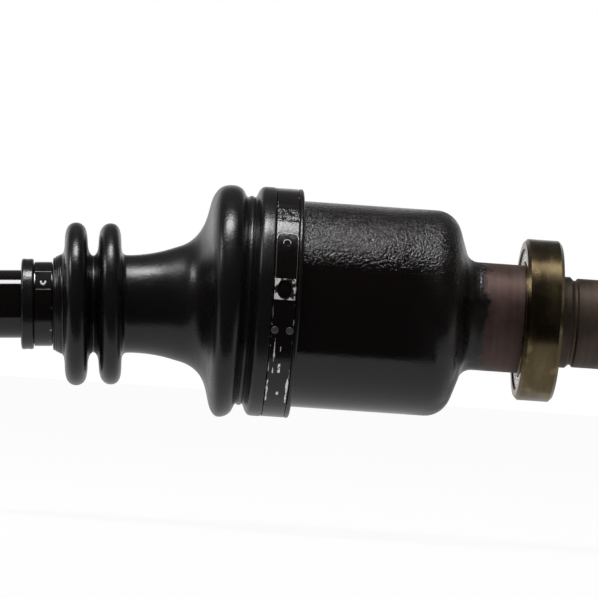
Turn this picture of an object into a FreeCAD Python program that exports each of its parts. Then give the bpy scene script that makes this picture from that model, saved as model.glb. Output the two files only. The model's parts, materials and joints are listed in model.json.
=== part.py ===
"""A driveshaft's gearbox-side assembly: bar shaft, plunging tripod joint in its rubber boot,
tulip with its one-piece intermediate shaft, and the support bearing.

The frame: origin at the support bearing's centre, +X along the intermediate shaft towards the
gearbox, +Z up. The joint is bent at rest, so the bar shaft has a frame of its own, with its
origin at the joint's centre and its x along the bar. All sizes are in millimetres."""
import FreeCAD, Part
import Sketcher
import math
import os

SIZES = [
    # the joint's place and its bend at rest
    ("joint_distance", 92.5), ("rest_bend", 3.95),
    # tulip: a cup with three roller tracks
    ("tulip_radius", 39.5), ("mouth_ahead", 17.5), ("mouth_chamfer", 1.2),
    ("bevel_radius", 26.5), ("bevel_depth", 12),
    ("cup_depth", 64), ("back_wall", 11.6), ("back_slope", 19), ("back_round", 10),
    ("track_half_width", 18), ("track_roof", 34.5), ("track_corner", 5.5),
    ("pocket_depth", 8), ("clamp_groove_depth", 0.8),
    # stem, bearing seat, intermediate shaft
    ("stem_radius", 20.75), ("stem_fillet", 5), ("seat_beyond", 5.8), ("seat_round", 1.4),
    ("relief_width", 1.6), ("relief_depth", 0.9), ("shaft_radius", 17.1), ("shaft_run", 128),
    ("journal_radius", 15), ("journal_length", 20), ("gear_spline_radius", 14),
    ("gear_spline_length", 42), ("gear_spline_teeth", 28), ("tooth_depth", 1.1),
    ("ring_wire", 1.6), ("ring_setback", 5), ("tip_chamfer", 1.5),
    # support bearing, a 35 x 62 x 14 deep-groove bearing
    ("bearing_bore", 17.5), ("bearing_radius", 31), ("bearing_width", 14),
    ("inner_land", 21.9), ("outer_land", 26.7), ("bearing_chamfer", 1.2),
    ("ball_radius", 3.97), ("ball_pitch", 24.25), ("ball_count", 11), ("race_clearance", 0.05),
    ("cage_wall", 1.5), ("cage_width", 8.6), ("cage_clearance", 0.12),
    ("shield_thickness", 0.5), ("shield_inset", 0.7), ("shield_gap", 0.4), ("shield_bead", 1.3),
    # bar shaft
    ("bar_radius", 13), ("bar_reach", 330), ("bar_spline_radius", 12.6),
    ("bar_spline_length", 30), ("bar_spline_teeth", 26), ("bar_neck_radius", 11.6),
    ("bar_neck_length", 9), ("neck_taper", 1.5), ("hub_seat_radius", 12.4), ("seat_shoulder", 2.2),
    ("bar_waist_radius", 11.6), ("bar_waist_start", 60), ("waist_taper", 4),
    ("dome_radius", 20), ("pilot_radius", 9), ("pilot_round", 1),
    # spider, needles and rollers
    ("hub_gap", 1.5), ("hub_half_length", 11), ("hub_chamfer", 1.2), ("clip_land", 1),
    ("trunnion_radius", 9.5), ("trunnion_tip", 0.8), ("trunnion_chamfer", 0.6),
    ("roller_radius", 16.5), ("roller_width", 12), ("trunnion_clearance", 1.7),
    ("needle_radius", 1.5), ("needle_count", 22), ("needle_clearance", 0.02),
    ("needle_foot", 0.6), ("needle_head", 0.2),
    ("washer_thickness", 0.8), ("washer_width", 3.4), ("washer_gap", 0.3),
    ("clip_thickness", 0.9), ("clip_depth", 0.7), ("clip_width", 2.4), ("clip_angle", 310),
    ("hub_clip_thickness", 1.4), ("hub_clip_width", 2.2),
    # thrust cup and its spring
    ("cup_clearance", 0.3), ("cup_wall", 2.5), ("cup_radius", 9), ("spigot_radius", 5.6),
    ("spigot_length", 2.6), ("spring_wire", 1), ("spring_radius", 7.4), ("spring_coils", 6.5),
    ("spring_play", 0.15), ("pocket_clearance", 0.9),
    # boot
    ("boot_clearance", 0.3), ("boot_wall", 1.8), ("ball_zone", 48), ("zone_edge", 31),
    ("bead_ahead", 28.2), ("bead_rise", 4.9), ("bead_half_width", 6),
    ("valley_ahead", 20), ("valley_rise", 0.4), ("collar_ahead", 17), ("collar_rim", 0.9),
    ("collar_end", 0.7), ("lip_width", 2), ("large_band_width", 8.4), ("collar_wall", 3.5),
    ("waist_start", 47.5), ("waist_mid", 55), ("waist_end", 64.5), ("flare_radius", 21.5),
    ("waist_radius", 19.5), ("neck_radius", 18.7), ("fold_width", 8.6), ("fold_crest", 31),
    ("fold_round", 3.9), ("fold_near", 71.6), ("fold_far", 84.8), ("fold_root", 18.4),
    ("cone_start", 90.4), ("cone_end", 93.4), ("cone_root", 17.3), ("cone_top", 18.8),
    ("small_band_width", 7), ("small_band_seat", 15.2), ("small_lip_width", 5),
    ("small_lip_crest", 17.4),
    # clamps
    ("band_clearance", 0.3), ("band_thickness", 0.5), ("lap_thickness", 0.5),
    ("lap_angle", 150), ("lap_inset", 0.2), ("lug_width", 1.5), ("lug_height", 0.9),
    ("lug_low", -12.4), ("lug_high", -9.6), ("window_width", 4.6), ("window_start", 9.5),
    ("window_end", 25.5), ("hook_start", 1.2), ("hook_end", 7), ("small_lap_angle", 120),
    ("small_lug_low", 6.6), ("small_lug_high", 9.4),
]

# sizes that follow from the ones above
FITTED = [
    # the trunnions end short of the tracks' roof, and the hub stops short of the rollers
    ("trunnion_reach", "track_roof - trunnion_clearance"),
    ("roller_pitch", "trunnion_reach - trunnion_tip - clip_thickness - washer_thickness"
                     " - washer_gap - roller_width / 2"),
    ("hub_radius", "roller_pitch - roller_width / 2 - hub_gap"),
    # the boot's collar, bead and valley stand on the tulip
    ("large_band_seat", "tulip_radius + collar_wall"),
    ("collar_crest", "large_band_seat + collar_rim"),
    ("bead_crest", "tulip_radius + bead_rise"),
    ("valley_crest", "tulip_radius + valley_rise"),
]

doc = FreeCAD.newDocument("Driveshaft")
sheet = doc.addObject("Spreadsheet::Sheet", "Sizes")
for row, (alias, value) in enumerate(SIZES, 1):
    sheet.set(f"A{row}", alias)
    sheet.set(f"B{row}", str(value))
    sheet.setAlias(f"B{row}", alias)
for row, (alias, rule) in enumerate(FITTED, len(SIZES) + 1):
    sheet.set(f"A{row}", alias)
    sheet.set(f"B{row}", f"={rule}")
    sheet.setAlias(f"B{row}", alias)
doc.recompute()

nodes = []


def worked(expression):
    """The value of an expression on the sheet."""
    return float(sheet.evalExpression(expression))


def size(alias):
    """The value of one size."""
    return float(sheet.get(alias))


def plane_of(body, role):
    """One of a body's own origin planes or axes."""
    return [part for part in body.Origin.OriginFeatures if part.Role == role][0]


def new_body(label, node=True):
    """A body; a node is written to a file of its own."""
    body = doc.addObject("PartDesign::Body", label)
    body.Label = label
    if node:
        nodes.append(body)
    return body


def on_bar(body, turn=0):
    """Sets a body in the bar's frame, turned about the bar."""
    joint = "placement(vector(-Sizes.joint_distance; 0; 0); rotation(vector(0; 1; 0); -Sizes.rest_bend))"
    spin = f"placement(vector(0; 0; 0); rotation(vector(1; 0; 0); {turn}))"
    body.setExpression("Placement", f"{joint} * {spin}")


def at_joint(body):
    """Sets a body with its origin at the joint's centre, square to the tulip."""
    body.setExpression("Placement.Base.x", "-Sizes.joint_distance")


def sketch_on(body, name, plane, offset=None):
    """An empty sketch on one of the body's planes, moved along the plane's normal."""
    sketch = body.newObject("Sketcher::SketchObject", name)
    sketch.AttachmentSupport = [(plane_of(body, plane), "")]
    sketch.MapMode = "FlatFace"
    if offset:
        sketch.setExpression("AttachmentOffset.Base.z", offset)
    return sketch


def dimension(sketch, vertex, kind, expression, value):
    """Dimensions one vertex from the sketch's origin, or lays it on an axis."""
    line, end = vertex
    if expression == "0":
        axis = -1 if kind == "DistanceY" else -2
        sketch.addConstraint(Sketcher.Constraint("PointOnObject", line, end, axis))
        return
    index = sketch.addConstraint(Sketcher.Constraint(kind, -1, 1, line, end, value))
    sketch.setExpression(f"Constraints[{index}]", expression)


def outline(sketch, points):
    """Closes a polygon through points, each a pair of expressions."""
    first = sketch.GeometryCount
    count = len(points)
    places = [FreeCAD.Vector(worked(across), worked(up), 0) for across, up in points]
    for i in range(count):
        sketch.addGeometry(Part.LineSegment(places[i], places[(i + 1) % count]), False)
    for i in range(count):
        following = first + (i + 1) % count
        sketch.addConstraint(Sketcher.Constraint("Coincident", first + i, 2, following, 1))
    for i, (across, up) in enumerate(points):
        dimension(sketch, (first + i, 1), "DistanceX", across, places[i].x)
        dimension(sketch, (first + i, 1), "DistanceY", up, places[i].y)


def round_hole(sketch, across, up, radius):
    """Adds a circle to a sketch."""
    centre = FreeCAD.Vector(worked(across), worked(up), 0)
    ring = sketch.addGeometry(Part.Circle(centre, FreeCAD.Vector(0, 0, 1), worked(radius)), False)
    dimension(sketch, (ring, 3), "DistanceX", across, centre.x)
    dimension(sketch, (ring, 3), "DistanceY", up, centre.y)
    index = sketch.addConstraint(Sketcher.Constraint("Radius", ring, worked(radius)))
    sketch.setExpression(f"Constraints[{index}]", radius)


def revolve(body, name, sketch, cut=False, axis="H_Axis", angle=None, midplane=False):
    """Turns a sketch about one of its axes."""
    turned = body.newObject("PartDesign::Groove" if cut else "PartDesign::Revolution", name)
    turned.Profile = sketch
    turned.ReferenceAxis = (sketch, [axis])
    turned.Midplane = midplane
    if angle:
        turned.setExpression("Angle", angle)
    else:
        turned.Angle = 360
    return turned


def turned_piece(label, points, node=True):
    """A piece turned about its x axis from one polygon."""
    body = new_body(label, node)
    sketch = sketch_on(body, f"{label}_profile", "XY_Plane")
    outline(sketch, points)
    revolve(body, f"{label}_turned", sketch)
    return body


def ring_cut(body, name, points):
    """Cuts a turned groove."""
    sketch = sketch_on(body, f"{name}_profile", "XY_Plane")
    outline(sketch, points)
    return revolve(body, name, sketch, cut=True)


def pattern(body, name, feature, count, axis="X_Axis"):
    """Repeats a feature evenly about an axis of the body."""
    polar = body.newObject("PartDesign::PolarPattern", name)
    polar.Originals = [feature]
    polar.Axis = (plane_of(body, axis), [""])
    polar.Angle = 360
    polar.setExpression("Occurrences", count)
    body.Tip = polar
    return polar


def pocket(body, name, sketch, length, reverse=False, midplane=False):
    """Cuts a sketch straight into a body."""
    cut = body.newObject("PartDesign::Pocket", name)
    cut.Profile = sketch
    cut.Type = "Length"
    cut.Reversed = reverse
    cut.Midplane = midplane
    cut.setExpression("Length", length)
    return cut


def round_edge(body, name, feature, along, radius, fillet):
    """Rounds the circular edge at a place along x and with a radius."""
    doc.recompute()
    best = None
    for index, edge in enumerate(feature.Shape.Edges, 1):
        if not isinstance(edge.Curve, Part.Circle):
            continue
        miss = abs(edge.Curve.Center.x - worked(along)) + abs(edge.Curve.Radius - worked(radius))
        if best is None or miss < best[0]:
            best = (miss, f"Edge{index}")
    blend = body.newObject("PartDesign::Fillet", name)
    blend.Base = (feature, [best[1]])
    blend.setExpression("Radius", fillet)
    return blend


def spline_teeth(body, name, radius, teeth, start, length):
    """Cuts the gaps of a straight spline along x, from start over length."""
    sketch = sketch_on(body, f"{name}_gap", "YZ_Plane", start)
    half = f"{radius} * tan(75 / {teeth})"
    root = f"{radius} - Sizes.tooth_depth"
    outer = f"{radius} + 0.5"
    outline(sketch, [
        (f"-0.55 * {half}", root), (f"0.55 * {half}", root),
        (f"1.3 * {half}", outer), (f"-1.3 * {half}", outer)])
    gap = pocket(body, f"{name}_cut", sketch, length, reverse=True)
    pattern(body, name, gap, teeth)


# Tulip and intermediate shaft, one forging
floor = "-Sizes.joint_distance - Sizes.mouth_ahead + Sizes.cup_depth"
mouth = "-Sizes.joint_distance - Sizes.mouth_ahead"
back = f"{floor} + Sizes.back_wall"
back_foot = f"{back} + (Sizes.tulip_radius - Sizes.stem_radius) * tan(Sizes.back_slope)"
seat_face = "-Sizes.bearing_width / 2"
seat_end = "Sizes.bearing_width / 2 + Sizes.seat_beyond"
relief_end = f"{seat_end} + Sizes.relief_width"
relief_root = "Sizes.shaft_radius - Sizes.relief_depth"
run_end = "Sizes.shaft_run"
journal_end = "Sizes.shaft_run + Sizes.journal_length"
gear_tip = "Sizes.shaft_run + Sizes.journal_length + Sizes.gear_spline_length"
clamp_far = "-Sizes.joint_distance - Sizes.collar_end - Sizes.lip_width - Sizes.large_band_width"
clamp_near = "-Sizes.joint_distance - Sizes.collar_end - Sizes.lip_width"

tulip = new_body("tulip_shaft")
blank = sketch_on(tulip, "forging_profile", "XY_Plane")
outline(blank, [
    (mouth, "0"),
    (mouth, "Sizes.tulip_radius - Sizes.mouth_chamfer"),
    (f"{mouth} + Sizes.mouth_chamfer", "Sizes.tulip_radius"),
    (back, "Sizes.tulip_radius"),
    (back_foot, "Sizes.stem_radius"),
    (seat_face, "Sizes.stem_radius"),
    (seat_face, "Sizes.bearing_bore"),
    (f"{seat_end} - Sizes.seat_round", "Sizes.bearing_bore"),
    (seat_end, f"{relief_root}"),
    (f"{seat_end} + Sizes.relief_width / 2", relief_root),
    (relief_end, "Sizes.shaft_radius"),
    (f"{run_end} - Sizes.tip_chamfer", "Sizes.shaft_radius"),
    (run_end, "Sizes.journal_radius"),
    (journal_end, "Sizes.journal_radius"),
    (f"{journal_end} + Sizes.tip_chamfer", "Sizes.gear_spline_radius"),
    (f"{gear_tip} - Sizes.tip_chamfer", "Sizes.gear_spline_radius"),
    (gear_tip, "Sizes.gear_spline_radius - Sizes.tip_chamfer"),
    (gear_tip, "0")])
forging = revolve(tulip, "forging", blank)
shoulder = round_edge(tulip, "shoulder", forging, back, "Sizes.tulip_radius", "Sizes.back_round")
neck = round_edge(tulip, "neck", shoulder, back_foot, "Sizes.stem_radius", "Sizes.stem_fillet")

track_sketch = sketch_on(tulip, "track_profile", "YZ_Plane", mouth)
outline(track_sketch, [
    ("-Sizes.track_half_width", "0"),
    ("Sizes.track_half_width", "0"),
    ("Sizes.track_half_width", "Sizes.track_roof - Sizes.track_corner"),
    ("Sizes.track_half_width - Sizes.track_corner", "Sizes.track_roof"),
    ("Sizes.track_corner - Sizes.track_half_width", "Sizes.track_roof"),
    ("-Sizes.track_half_width", "Sizes.track_roof - Sizes.track_corner")])
track = pocket(tulip, "track", track_sketch, "Sizes.cup_depth", reverse=True)
pattern(tulip, "tracks", track, "3")
web_tip = "Sizes.track_half_width / cos(30)"
ring_cut(tulip, "mouth_bevel", [
    (f"{mouth} - 1", f"{web_tip} - 3"),
    (f"{mouth} + Sizes.bevel_depth", f"{web_tip} - 3"),
    (f"{mouth} + Sizes.bevel_depth", web_tip),
    (mouth, "Sizes.bevel_radius"),
    (f"{mouth} - 1", "Sizes.bevel_radius")])
ring_cut(tulip, "spring_pocket", [
    (f"{floor} - 1", "0"),
    (f"{floor} + Sizes.pocket_depth", "0"),
    (f"{floor} + Sizes.pocket_depth",
     "Sizes.spring_radius + Sizes.spring_wire + Sizes.pocket_clearance"),
    (f"{floor} - 1", "Sizes.spring_radius + Sizes.spring_wire + Sizes.pocket_clearance")])
ring_cut(tulip, "clamp_groove", [
    (clamp_far, "Sizes.tulip_radius - Sizes.clamp_groove_depth"),
    (clamp_near, "Sizes.tulip_radius - Sizes.clamp_groove_depth"),
    (clamp_near, "Sizes.tulip_radius + 1"),
    (clamp_far, "Sizes.tulip_radius + 1")])
spline_teeth(tulip, "gear_spline", "Sizes.gear_spline_radius", "Sizes.gear_spline_teeth",
             f"{journal_end} + Sizes.tip_chamfer", "Sizes.gear_spline_length")
ring_place = f"{gear_tip} - Sizes.ring_setback"
gear_ring_root = "Sizes.gear_spline_radius - Sizes.tooth_depth - 0.6 * Sizes.ring_wire"
ring_cut(tulip, "gear_ring_groove", [
    (f"{ring_place} - Sizes.ring_wire / 2 - 0.1", gear_ring_root),
    (f"{ring_place} + Sizes.ring_wire / 2 + 0.1", gear_ring_root),
    (f"{ring_place} + Sizes.ring_wire / 2 + 0.1", "Sizes.gear_spline_radius + 1"),
    (f"{ring_place} - Sizes.ring_wire / 2 - 0.1", "Sizes.gear_spline_radius + 1")])


def wire_ring(label, along, root):
    """A round-wire snap ring, open at one side, in a groove with this root."""
    body = new_body(label)
    sketch = sketch_on(body, f"{label}_wire", "XY_Plane")
    round_hole(sketch, along, f"{root} + Sizes.ring_wire / 2 + 0.02", "Sizes.ring_wire / 2")
    revolve(body, f"{label}_turned", sketch, angle="Sizes.clip_angle")
    return body


wire_ring("gearbox_snap_ring", ring_place, gear_ring_root)

# Support bearing
half_width = "Sizes.bearing_width / 2"
race = "Sizes.ball_radius + Sizes.race_clearance"


def bearing_ring(label, bore, outside, chamfer_at_bore):
    """A ring of the bearing with its ball groove, chamfered on its seat."""
    inner_cut = "Sizes.bearing_chamfer" if chamfer_at_bore else "0.3"
    outer_cut = "0.3" if chamfer_at_bore else "Sizes.bearing_chamfer"
    body = turned_piece(label, [
        (f"-{half_width} + {inner_cut}", bore),
        (f"{half_width} - {inner_cut}", bore),
        (half_width, f"{bore} + {inner_cut}"),
        (half_width, f"{outside} - {outer_cut}"),
        (f"{half_width} - {outer_cut}", outside),
        (f"-{half_width} + {outer_cut}", outside),
        (f"-{half_width}", f"{outside} - {outer_cut}"),
        (f"-{half_width}", f"{bore} + {inner_cut}")])
    groove = sketch_on(body, f"{label}_race_profile", "XY_Plane")
    round_hole(groove, "0", "Sizes.ball_pitch", race)
    revolve(body, f"{label}_race", groove, cut=True)
    return body


bearing_ring("bearing_inner_ring", "Sizes.bearing_bore", "Sizes.inner_land", True)
outer_ring = bearing_ring("bearing_outer_ring", "Sizes.outer_land", "Sizes.bearing_radius", False)
shield_out = f"{half_width} - Sizes.shield_inset"
shield_in = f"{half_width} - Sizes.shield_inset - Sizes.shield_thickness"
shield_seat = "Sizes.outer_land + Sizes.shield_thickness"
for name, sign in (("left", "-1"), ("right", "1")):
    ring_cut(outer_ring, f"shield_seat_{name}", [
        (f"{sign} * ({shield_in})", "Sizes.outer_land - 1"),
        (f"{sign} * ({half_width} + 1)", "Sizes.outer_land - 1"),
        (f"{sign} * ({half_width} + 1)", shield_seat),
        (f"{sign} * ({shield_in})", shield_seat)])
for name, sign in (("left", "-1"), ("right", "1")):
    inner_edge = "Sizes.inner_land + Sizes.shield_gap"
    step = f"{inner_edge} + Sizes.shield_bead"
    bead = f"{sign} * ({shield_out} - Sizes.shield_thickness / 2)"
    turned_piece(f"bearing_shield_{name}", [
        (f"{sign} * ({shield_in})", inner_edge),
        (bead, inner_edge),
        (bead, step),
        (f"{sign} * ({shield_out})", f"{step} + 0.3"),
        (f"{sign} * ({shield_out})", shield_seat),
        (f"{sign} * ({shield_in})", shield_seat)])

balls = new_body("bearing_balls")
ball = balls.newObject("PartDesign::AdditiveSphere", "ball")
ball.AttachmentSupport = [(plane_of(balls, "XY_Plane"), "")]
ball.MapMode = "FlatFace"
ball.setExpression("Radius", "Sizes.ball_radius")
ball.setExpression("AttachmentOffset.Base.y", "Sizes.ball_pitch")
balls.AllowCompound = True
pattern(balls, "ball_ring", ball, "Sizes.ball_count")
cage = turned_piece("bearing_cage", [
    ("-Sizes.cage_width / 2", "Sizes.ball_pitch - Sizes.cage_wall / 2"),
    ("Sizes.cage_width / 2", "Sizes.ball_pitch - Sizes.cage_wall / 2"),
    ("Sizes.cage_width / 2", "Sizes.ball_pitch + Sizes.cage_wall / 2"),
    ("-Sizes.cage_width / 2", "Sizes.ball_pitch + Sizes.cage_wall / 2")])
seat = cage.newObject("PartDesign::SubtractiveSphere", "ball_pocket")
seat.AttachmentSupport = [(plane_of(cage, "XY_Plane"), "")]
seat.MapMode = "FlatFace"
seat.setExpression("Radius", "Sizes.ball_radius + Sizes.cage_clearance")
seat.setExpression("AttachmentOffset.Base.y", "Sizes.ball_pitch")
pattern(cage, "ball_pockets", seat, "Sizes.ball_count")

# Bar shaft, in its own frame: the joint's centre at 0, the wheel end at -bar_reach
hub_back = "-Sizes.hub_half_length"
hub_front = "Sizes.hub_half_length"
seat_tip = "Sizes.hub_half_length + Sizes.hub_clip_thickness + Sizes.clip_land"
spline_end = "-Sizes.bar_reach + Sizes.bar_spline_length"
neck_end = f"{spline_end} + Sizes.bar_neck_length"
dome_edge = "sqrt(pow(Sizes.dome_radius; 2) - pow(Sizes.pilot_radius; 2))"
bar = new_body("bar_shaft")
bar_sketch = sketch_on(bar, "bar_profile", "XY_Plane")
outline(bar_sketch, [
    ("-Sizes.bar_reach", "0"),
    ("-Sizes.bar_reach", "Sizes.bar_spline_radius - Sizes.tip_chamfer"),
    ("-Sizes.bar_reach + Sizes.tip_chamfer", "Sizes.bar_spline_radius"),
    (spline_end, "Sizes.bar_spline_radius"),
    (f"{spline_end} + Sizes.neck_taper", "Sizes.bar_neck_radius"),
    (f"{neck_end} - Sizes.neck_taper", "Sizes.bar_neck_radius"),
    (neck_end, "Sizes.bar_radius"),
    ("-Sizes.bar_waist_start", "Sizes.bar_radius"),
    ("-Sizes.bar_waist_start + Sizes.waist_taper", "Sizes.bar_waist_radius"),
    (f"{hub_back} - 2 * Sizes.seat_shoulder", "Sizes.bar_waist_radius"),
    (f"{hub_back} - Sizes.seat_shoulder", "Sizes.bar_radius"),
    (hub_back, "Sizes.bar_radius"),
    (hub_back, "Sizes.hub_seat_radius"),
    (seat_tip, "Sizes.hub_seat_radius"),
    (f"{seat_tip} + Sizes.pilot_round", "Sizes.pilot_radius"),
    ("Sizes.dome_radius", "Sizes.pilot_radius"),
    ("Sizes.dome_radius", "0")])
revolve(bar, "bar_turned", bar_sketch)
dome = sketch_on(bar, "dome_profile", "XY_Plane")
outer_points = [(f"{dome_edge} - 0.001", "Sizes.pilot_radius + 1"),
                ("Sizes.dome_radius + 2", "Sizes.pilot_radius + 1"), ("Sizes.dome_radius + 2", "0")]
arc_steps = 12
for i in range(arc_steps + 1):
    angle = f"asin(Sizes.pilot_radius / Sizes.dome_radius) * {i} / {arc_steps}"
    up = "0" if i == 0 else f"Sizes.dome_radius * sin({angle})"
    outer_points.append((f"Sizes.dome_radius * cos({angle})", up))
outline(dome, outer_points)
revolve(bar, "dome", dome, cut=True)
spline_teeth(bar, "bar_spline", "Sizes.bar_spline_radius", "Sizes.bar_spline_teeth",
             "-Sizes.bar_reach", "Sizes.bar_spline_length")
bar_ring_place = "-Sizes.bar_reach + Sizes.ring_setback"
bar_ring_root = "Sizes.bar_spline_radius - Sizes.tooth_depth - 0.6 * Sizes.ring_wire"
ring_cut(bar, "bar_ring_groove", [
    (f"{bar_ring_place} - Sizes.ring_wire / 2 - 0.1", bar_ring_root),
    (f"{bar_ring_place} + Sizes.ring_wire / 2 + 0.1", bar_ring_root),
    (f"{bar_ring_place} + Sizes.ring_wire / 2 + 0.1", "Sizes.bar_spline_radius + 1"),
    (f"{bar_ring_place} - Sizes.ring_wire / 2 - 0.1", "Sizes.bar_spline_radius + 1")])
hub_clip_root = "Sizes.hub_seat_radius - Sizes.clip_depth"
ring_cut(bar, "hub_clip_groove", [
    (hub_front, hub_clip_root),
    (f"{hub_front} + Sizes.hub_clip_thickness", hub_clip_root),
    (f"{hub_front} + Sizes.hub_clip_thickness", "Sizes.hub_seat_radius + 1"),
    (hub_front, "Sizes.hub_seat_radius + 1")])
on_bar(bar)
on_bar(wire_ring("bar_snap_ring", bar_ring_place, bar_ring_root))

# Spider: a hub with three trunnions
spider = turned_piece("tripod_spider", [
    (hub_back, "0"),
    (hub_front, "0"),
    (hub_front, "Sizes.hub_radius - Sizes.hub_chamfer"),
    (f"{hub_front} - Sizes.hub_chamfer", "Sizes.hub_radius"),
    (f"{hub_back} + Sizes.hub_chamfer", "Sizes.hub_radius"),
    (hub_back, "Sizes.hub_radius - Sizes.hub_chamfer")])
clip_low = "Sizes.roller_pitch + Sizes.roller_width / 2 + Sizes.washer_gap + Sizes.washer_thickness"
clip_high = f"{clip_low} + Sizes.clip_thickness"
clip_root = "Sizes.trunnion_radius - Sizes.clip_depth"
trunnion_end = "Sizes.trunnion_reach"
trunnion_sketch = sketch_on(spider, "trunnion_profile", "XZ_Plane")
outline(trunnion_sketch, [
    ("0", "Sizes.hub_seat_radius / 2"),
    ("Sizes.trunnion_radius", "Sizes.hub_seat_radius / 2"),
    ("Sizes.trunnion_radius", clip_low),
    (clip_root, clip_low),
    (clip_root, clip_high),
    ("Sizes.trunnion_radius", clip_high),
    ("Sizes.trunnion_radius", f"{trunnion_end} - Sizes.trunnion_chamfer"),
    ("Sizes.trunnion_radius - Sizes.trunnion_chamfer", trunnion_end),
    ("0", trunnion_end)])
trunnion = revolve(spider, "trunnion", trunnion_sketch, axis="V_Axis")
pattern(spider, "trunnions", trunnion, "3")
ring_cut(spider, "hub_bore", [
    (f"{hub_back} - 1", "0"),
    (f"{hub_front} + 1", "0"),
    (f"{hub_front} + 1", "Sizes.hub_seat_radius"),
    (f"{hub_back} - 1", "Sizes.hub_seat_radius")])
on_bar(spider)

hub_clip = new_body("hub_clip")
hub_clip_sketch = sketch_on(hub_clip, "hub_clip_profile", "XY_Plane")
outline(hub_clip_sketch, [
    (hub_front, hub_clip_root),
    (f"{hub_front} + Sizes.hub_clip_thickness", hub_clip_root),
    (f"{hub_front} + Sizes.hub_clip_thickness", f"{hub_clip_root} + Sizes.hub_clip_width"),
    (hub_front, f"{hub_clip_root} + Sizes.hub_clip_width")])
revolve(hub_clip, "hub_clip_turned", hub_clip_sketch, angle="Sizes.clip_angle")
on_bar(hub_clip)

needle_pitch = "Sizes.trunnion_radius + Sizes.needle_clearance + Sizes.needle_radius"
roller_bore = f"{needle_pitch} + Sizes.needle_radius + Sizes.needle_clearance"
roller_low = "Sizes.roller_pitch - Sizes.roller_width / 2"
roller_high = "Sizes.roller_pitch + Sizes.roller_width / 2"


def trunnion_ring(label, low, high, inner, outer, turn, angle=None):
    """A flat ring about a trunnion."""
    body = new_body(label)
    sketch = sketch_on(body, f"{label}_profile", "XZ_Plane")
    outline(sketch, [(inner, low), (outer, low), (outer, high), (inner, high)])
    revolve(body, f"{label}_turned", sketch, axis="V_Axis", angle=angle)
    on_bar(body, turn)


for number, turn in ((1, 0), (2, 120), (3, 240)):
    roller = new_body(f"tripod_roller_{number}")
    tread = roller.newObject("PartDesign::AdditiveSphere", f"tread_{number}")
    tread.AttachmentSupport = [(plane_of(roller, "XY_Plane"), "")]
    tread.MapMode = "FlatFace"
    tread.setExpression("Radius", "Sizes.roller_radius")
    tread.setExpression("Angle1", "-asin(Sizes.roller_width / 2 / Sizes.roller_radius)")
    tread.setExpression("Angle2", "asin(Sizes.roller_width / 2 / Sizes.roller_radius)")
    tread.setExpression("AttachmentOffset.Base.z", "Sizes.roller_pitch")
    bore = sketch_on(roller, f"roller_bore_{number}", "XY_Plane", f"{roller_high} + 1")
    round_hole(bore, "0", "0", roller_bore)
    pocket(roller, f"bored_{number}", bore, "Sizes.roller_width + 2")
    on_bar(roller, turn)

    needles = new_body(f"needle_set_{number}")
    needles.AllowCompound = True
    needle_sketch = sketch_on(needles, f"needle_end_{number}", "XY_Plane", f"{roller_low} + Sizes.needle_foot")
    round_hole(needle_sketch, needle_pitch, "0", "Sizes.needle_radius")
    needle = needles.newObject("PartDesign::Pad", f"needle_{number}")
    needle.Profile = needle_sketch
    needle.setExpression("Length", "Sizes.roller_width - Sizes.needle_foot - Sizes.needle_head")
    pattern(needles, f"needles_{number}", needle, "Sizes.needle_count", axis="Z_Axis")
    on_bar(needles, turn)

    trunnion_ring(f"roller_washer_{number}", f"{roller_high} + Sizes.washer_gap", clip_low,
                  "Sizes.trunnion_radius", "Sizes.trunnion_radius + Sizes.washer_width", turn)
    trunnion_ring(f"roller_clip_{number}", clip_low, clip_high,
                  clip_root, f"{clip_root} + Sizes.clip_width", turn, "Sizes.clip_angle")

# Thrust cup between the bar's dome and the spring
cup_inside = "Sizes.dome_radius + Sizes.cup_clearance"
cup_back = f"{cup_inside} + Sizes.cup_wall"
cup_rim = f"sqrt(pow({cup_inside}; 2) - pow(Sizes.cup_radius; 2))"
thrust_cup = new_body("thrust_cup")
cup_sketch = sketch_on(thrust_cup, "cup_profile", "XY_Plane")
cup_points = [(cup_back, "Sizes.cup_radius"), (cup_back, "Sizes.spigot_radius"),
              (f"{cup_back} + Sizes.spigot_length", "Sizes.spigot_radius - 0.6"),
              (f"{cup_back} + Sizes.spigot_length", "0")]
for i in range(arc_steps + 1):
    angle = f"asin(Sizes.cup_radius / ({cup_inside})) * {i} / {arc_steps}"
    up = "0" if i == 0 else f"({cup_inside}) * sin({angle})"
    cup_points.append((f"({cup_inside}) * cos({angle})", up))
outline(cup_sketch, cup_points)
revolve(thrust_cup, "cup_turned", cup_sketch)
at_joint(thrust_cup)

spring_start = f"-Sizes.joint_distance + {cup_back} + Sizes.spring_wire + Sizes.spring_play"
spring_end = f"{floor} + Sizes.pocket_depth - Sizes.spring_wire - Sizes.spring_play"
spring_body = new_body("thrust_spring")
wire_sketch = sketch_on(spring_body, "spring_wire_profile", "XY_Plane")
round_hole(wire_sketch, spring_start, "Sizes.spring_radius", "Sizes.spring_wire")
coil = spring_body.newObject("PartDesign::AdditiveHelix", "coil")
coil.Profile = wire_sketch
coil.ReferenceAxis = (wire_sketch, ["H_Axis"])
coil.Mode = "height-turns-growth"
coil.setExpression("Height", f"({spring_end}) - ({spring_start})")
coil.setExpression("Turns", "Sizes.spring_coils")

# Boot: the tulip's half and the bar's half share a ball zone about the joint's centre
inner_zone = "Sizes.ball_zone - Sizes.boot_wall"


def zone_point(ball, up):
    """A point of the ball zone at a distance from the axis."""
    return (f"-sqrt(pow({ball}; 2) - pow({up}; 2))", up)


def rounded_fold(centre, half, crest, drop, rim, steps=6):
    """Points over a fold with a rounded crest, from its far side to its near side."""
    points = []
    for i in range(steps + 1):
        turn = math.pi * i / steps
        points.append((f"{centre} - ({half}) * {math.cos(turn):.4f}",
                       f"{crest} - ({drop}) * {1 - math.sin(turn):.4f} - ({rim})"))
    return points


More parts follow.
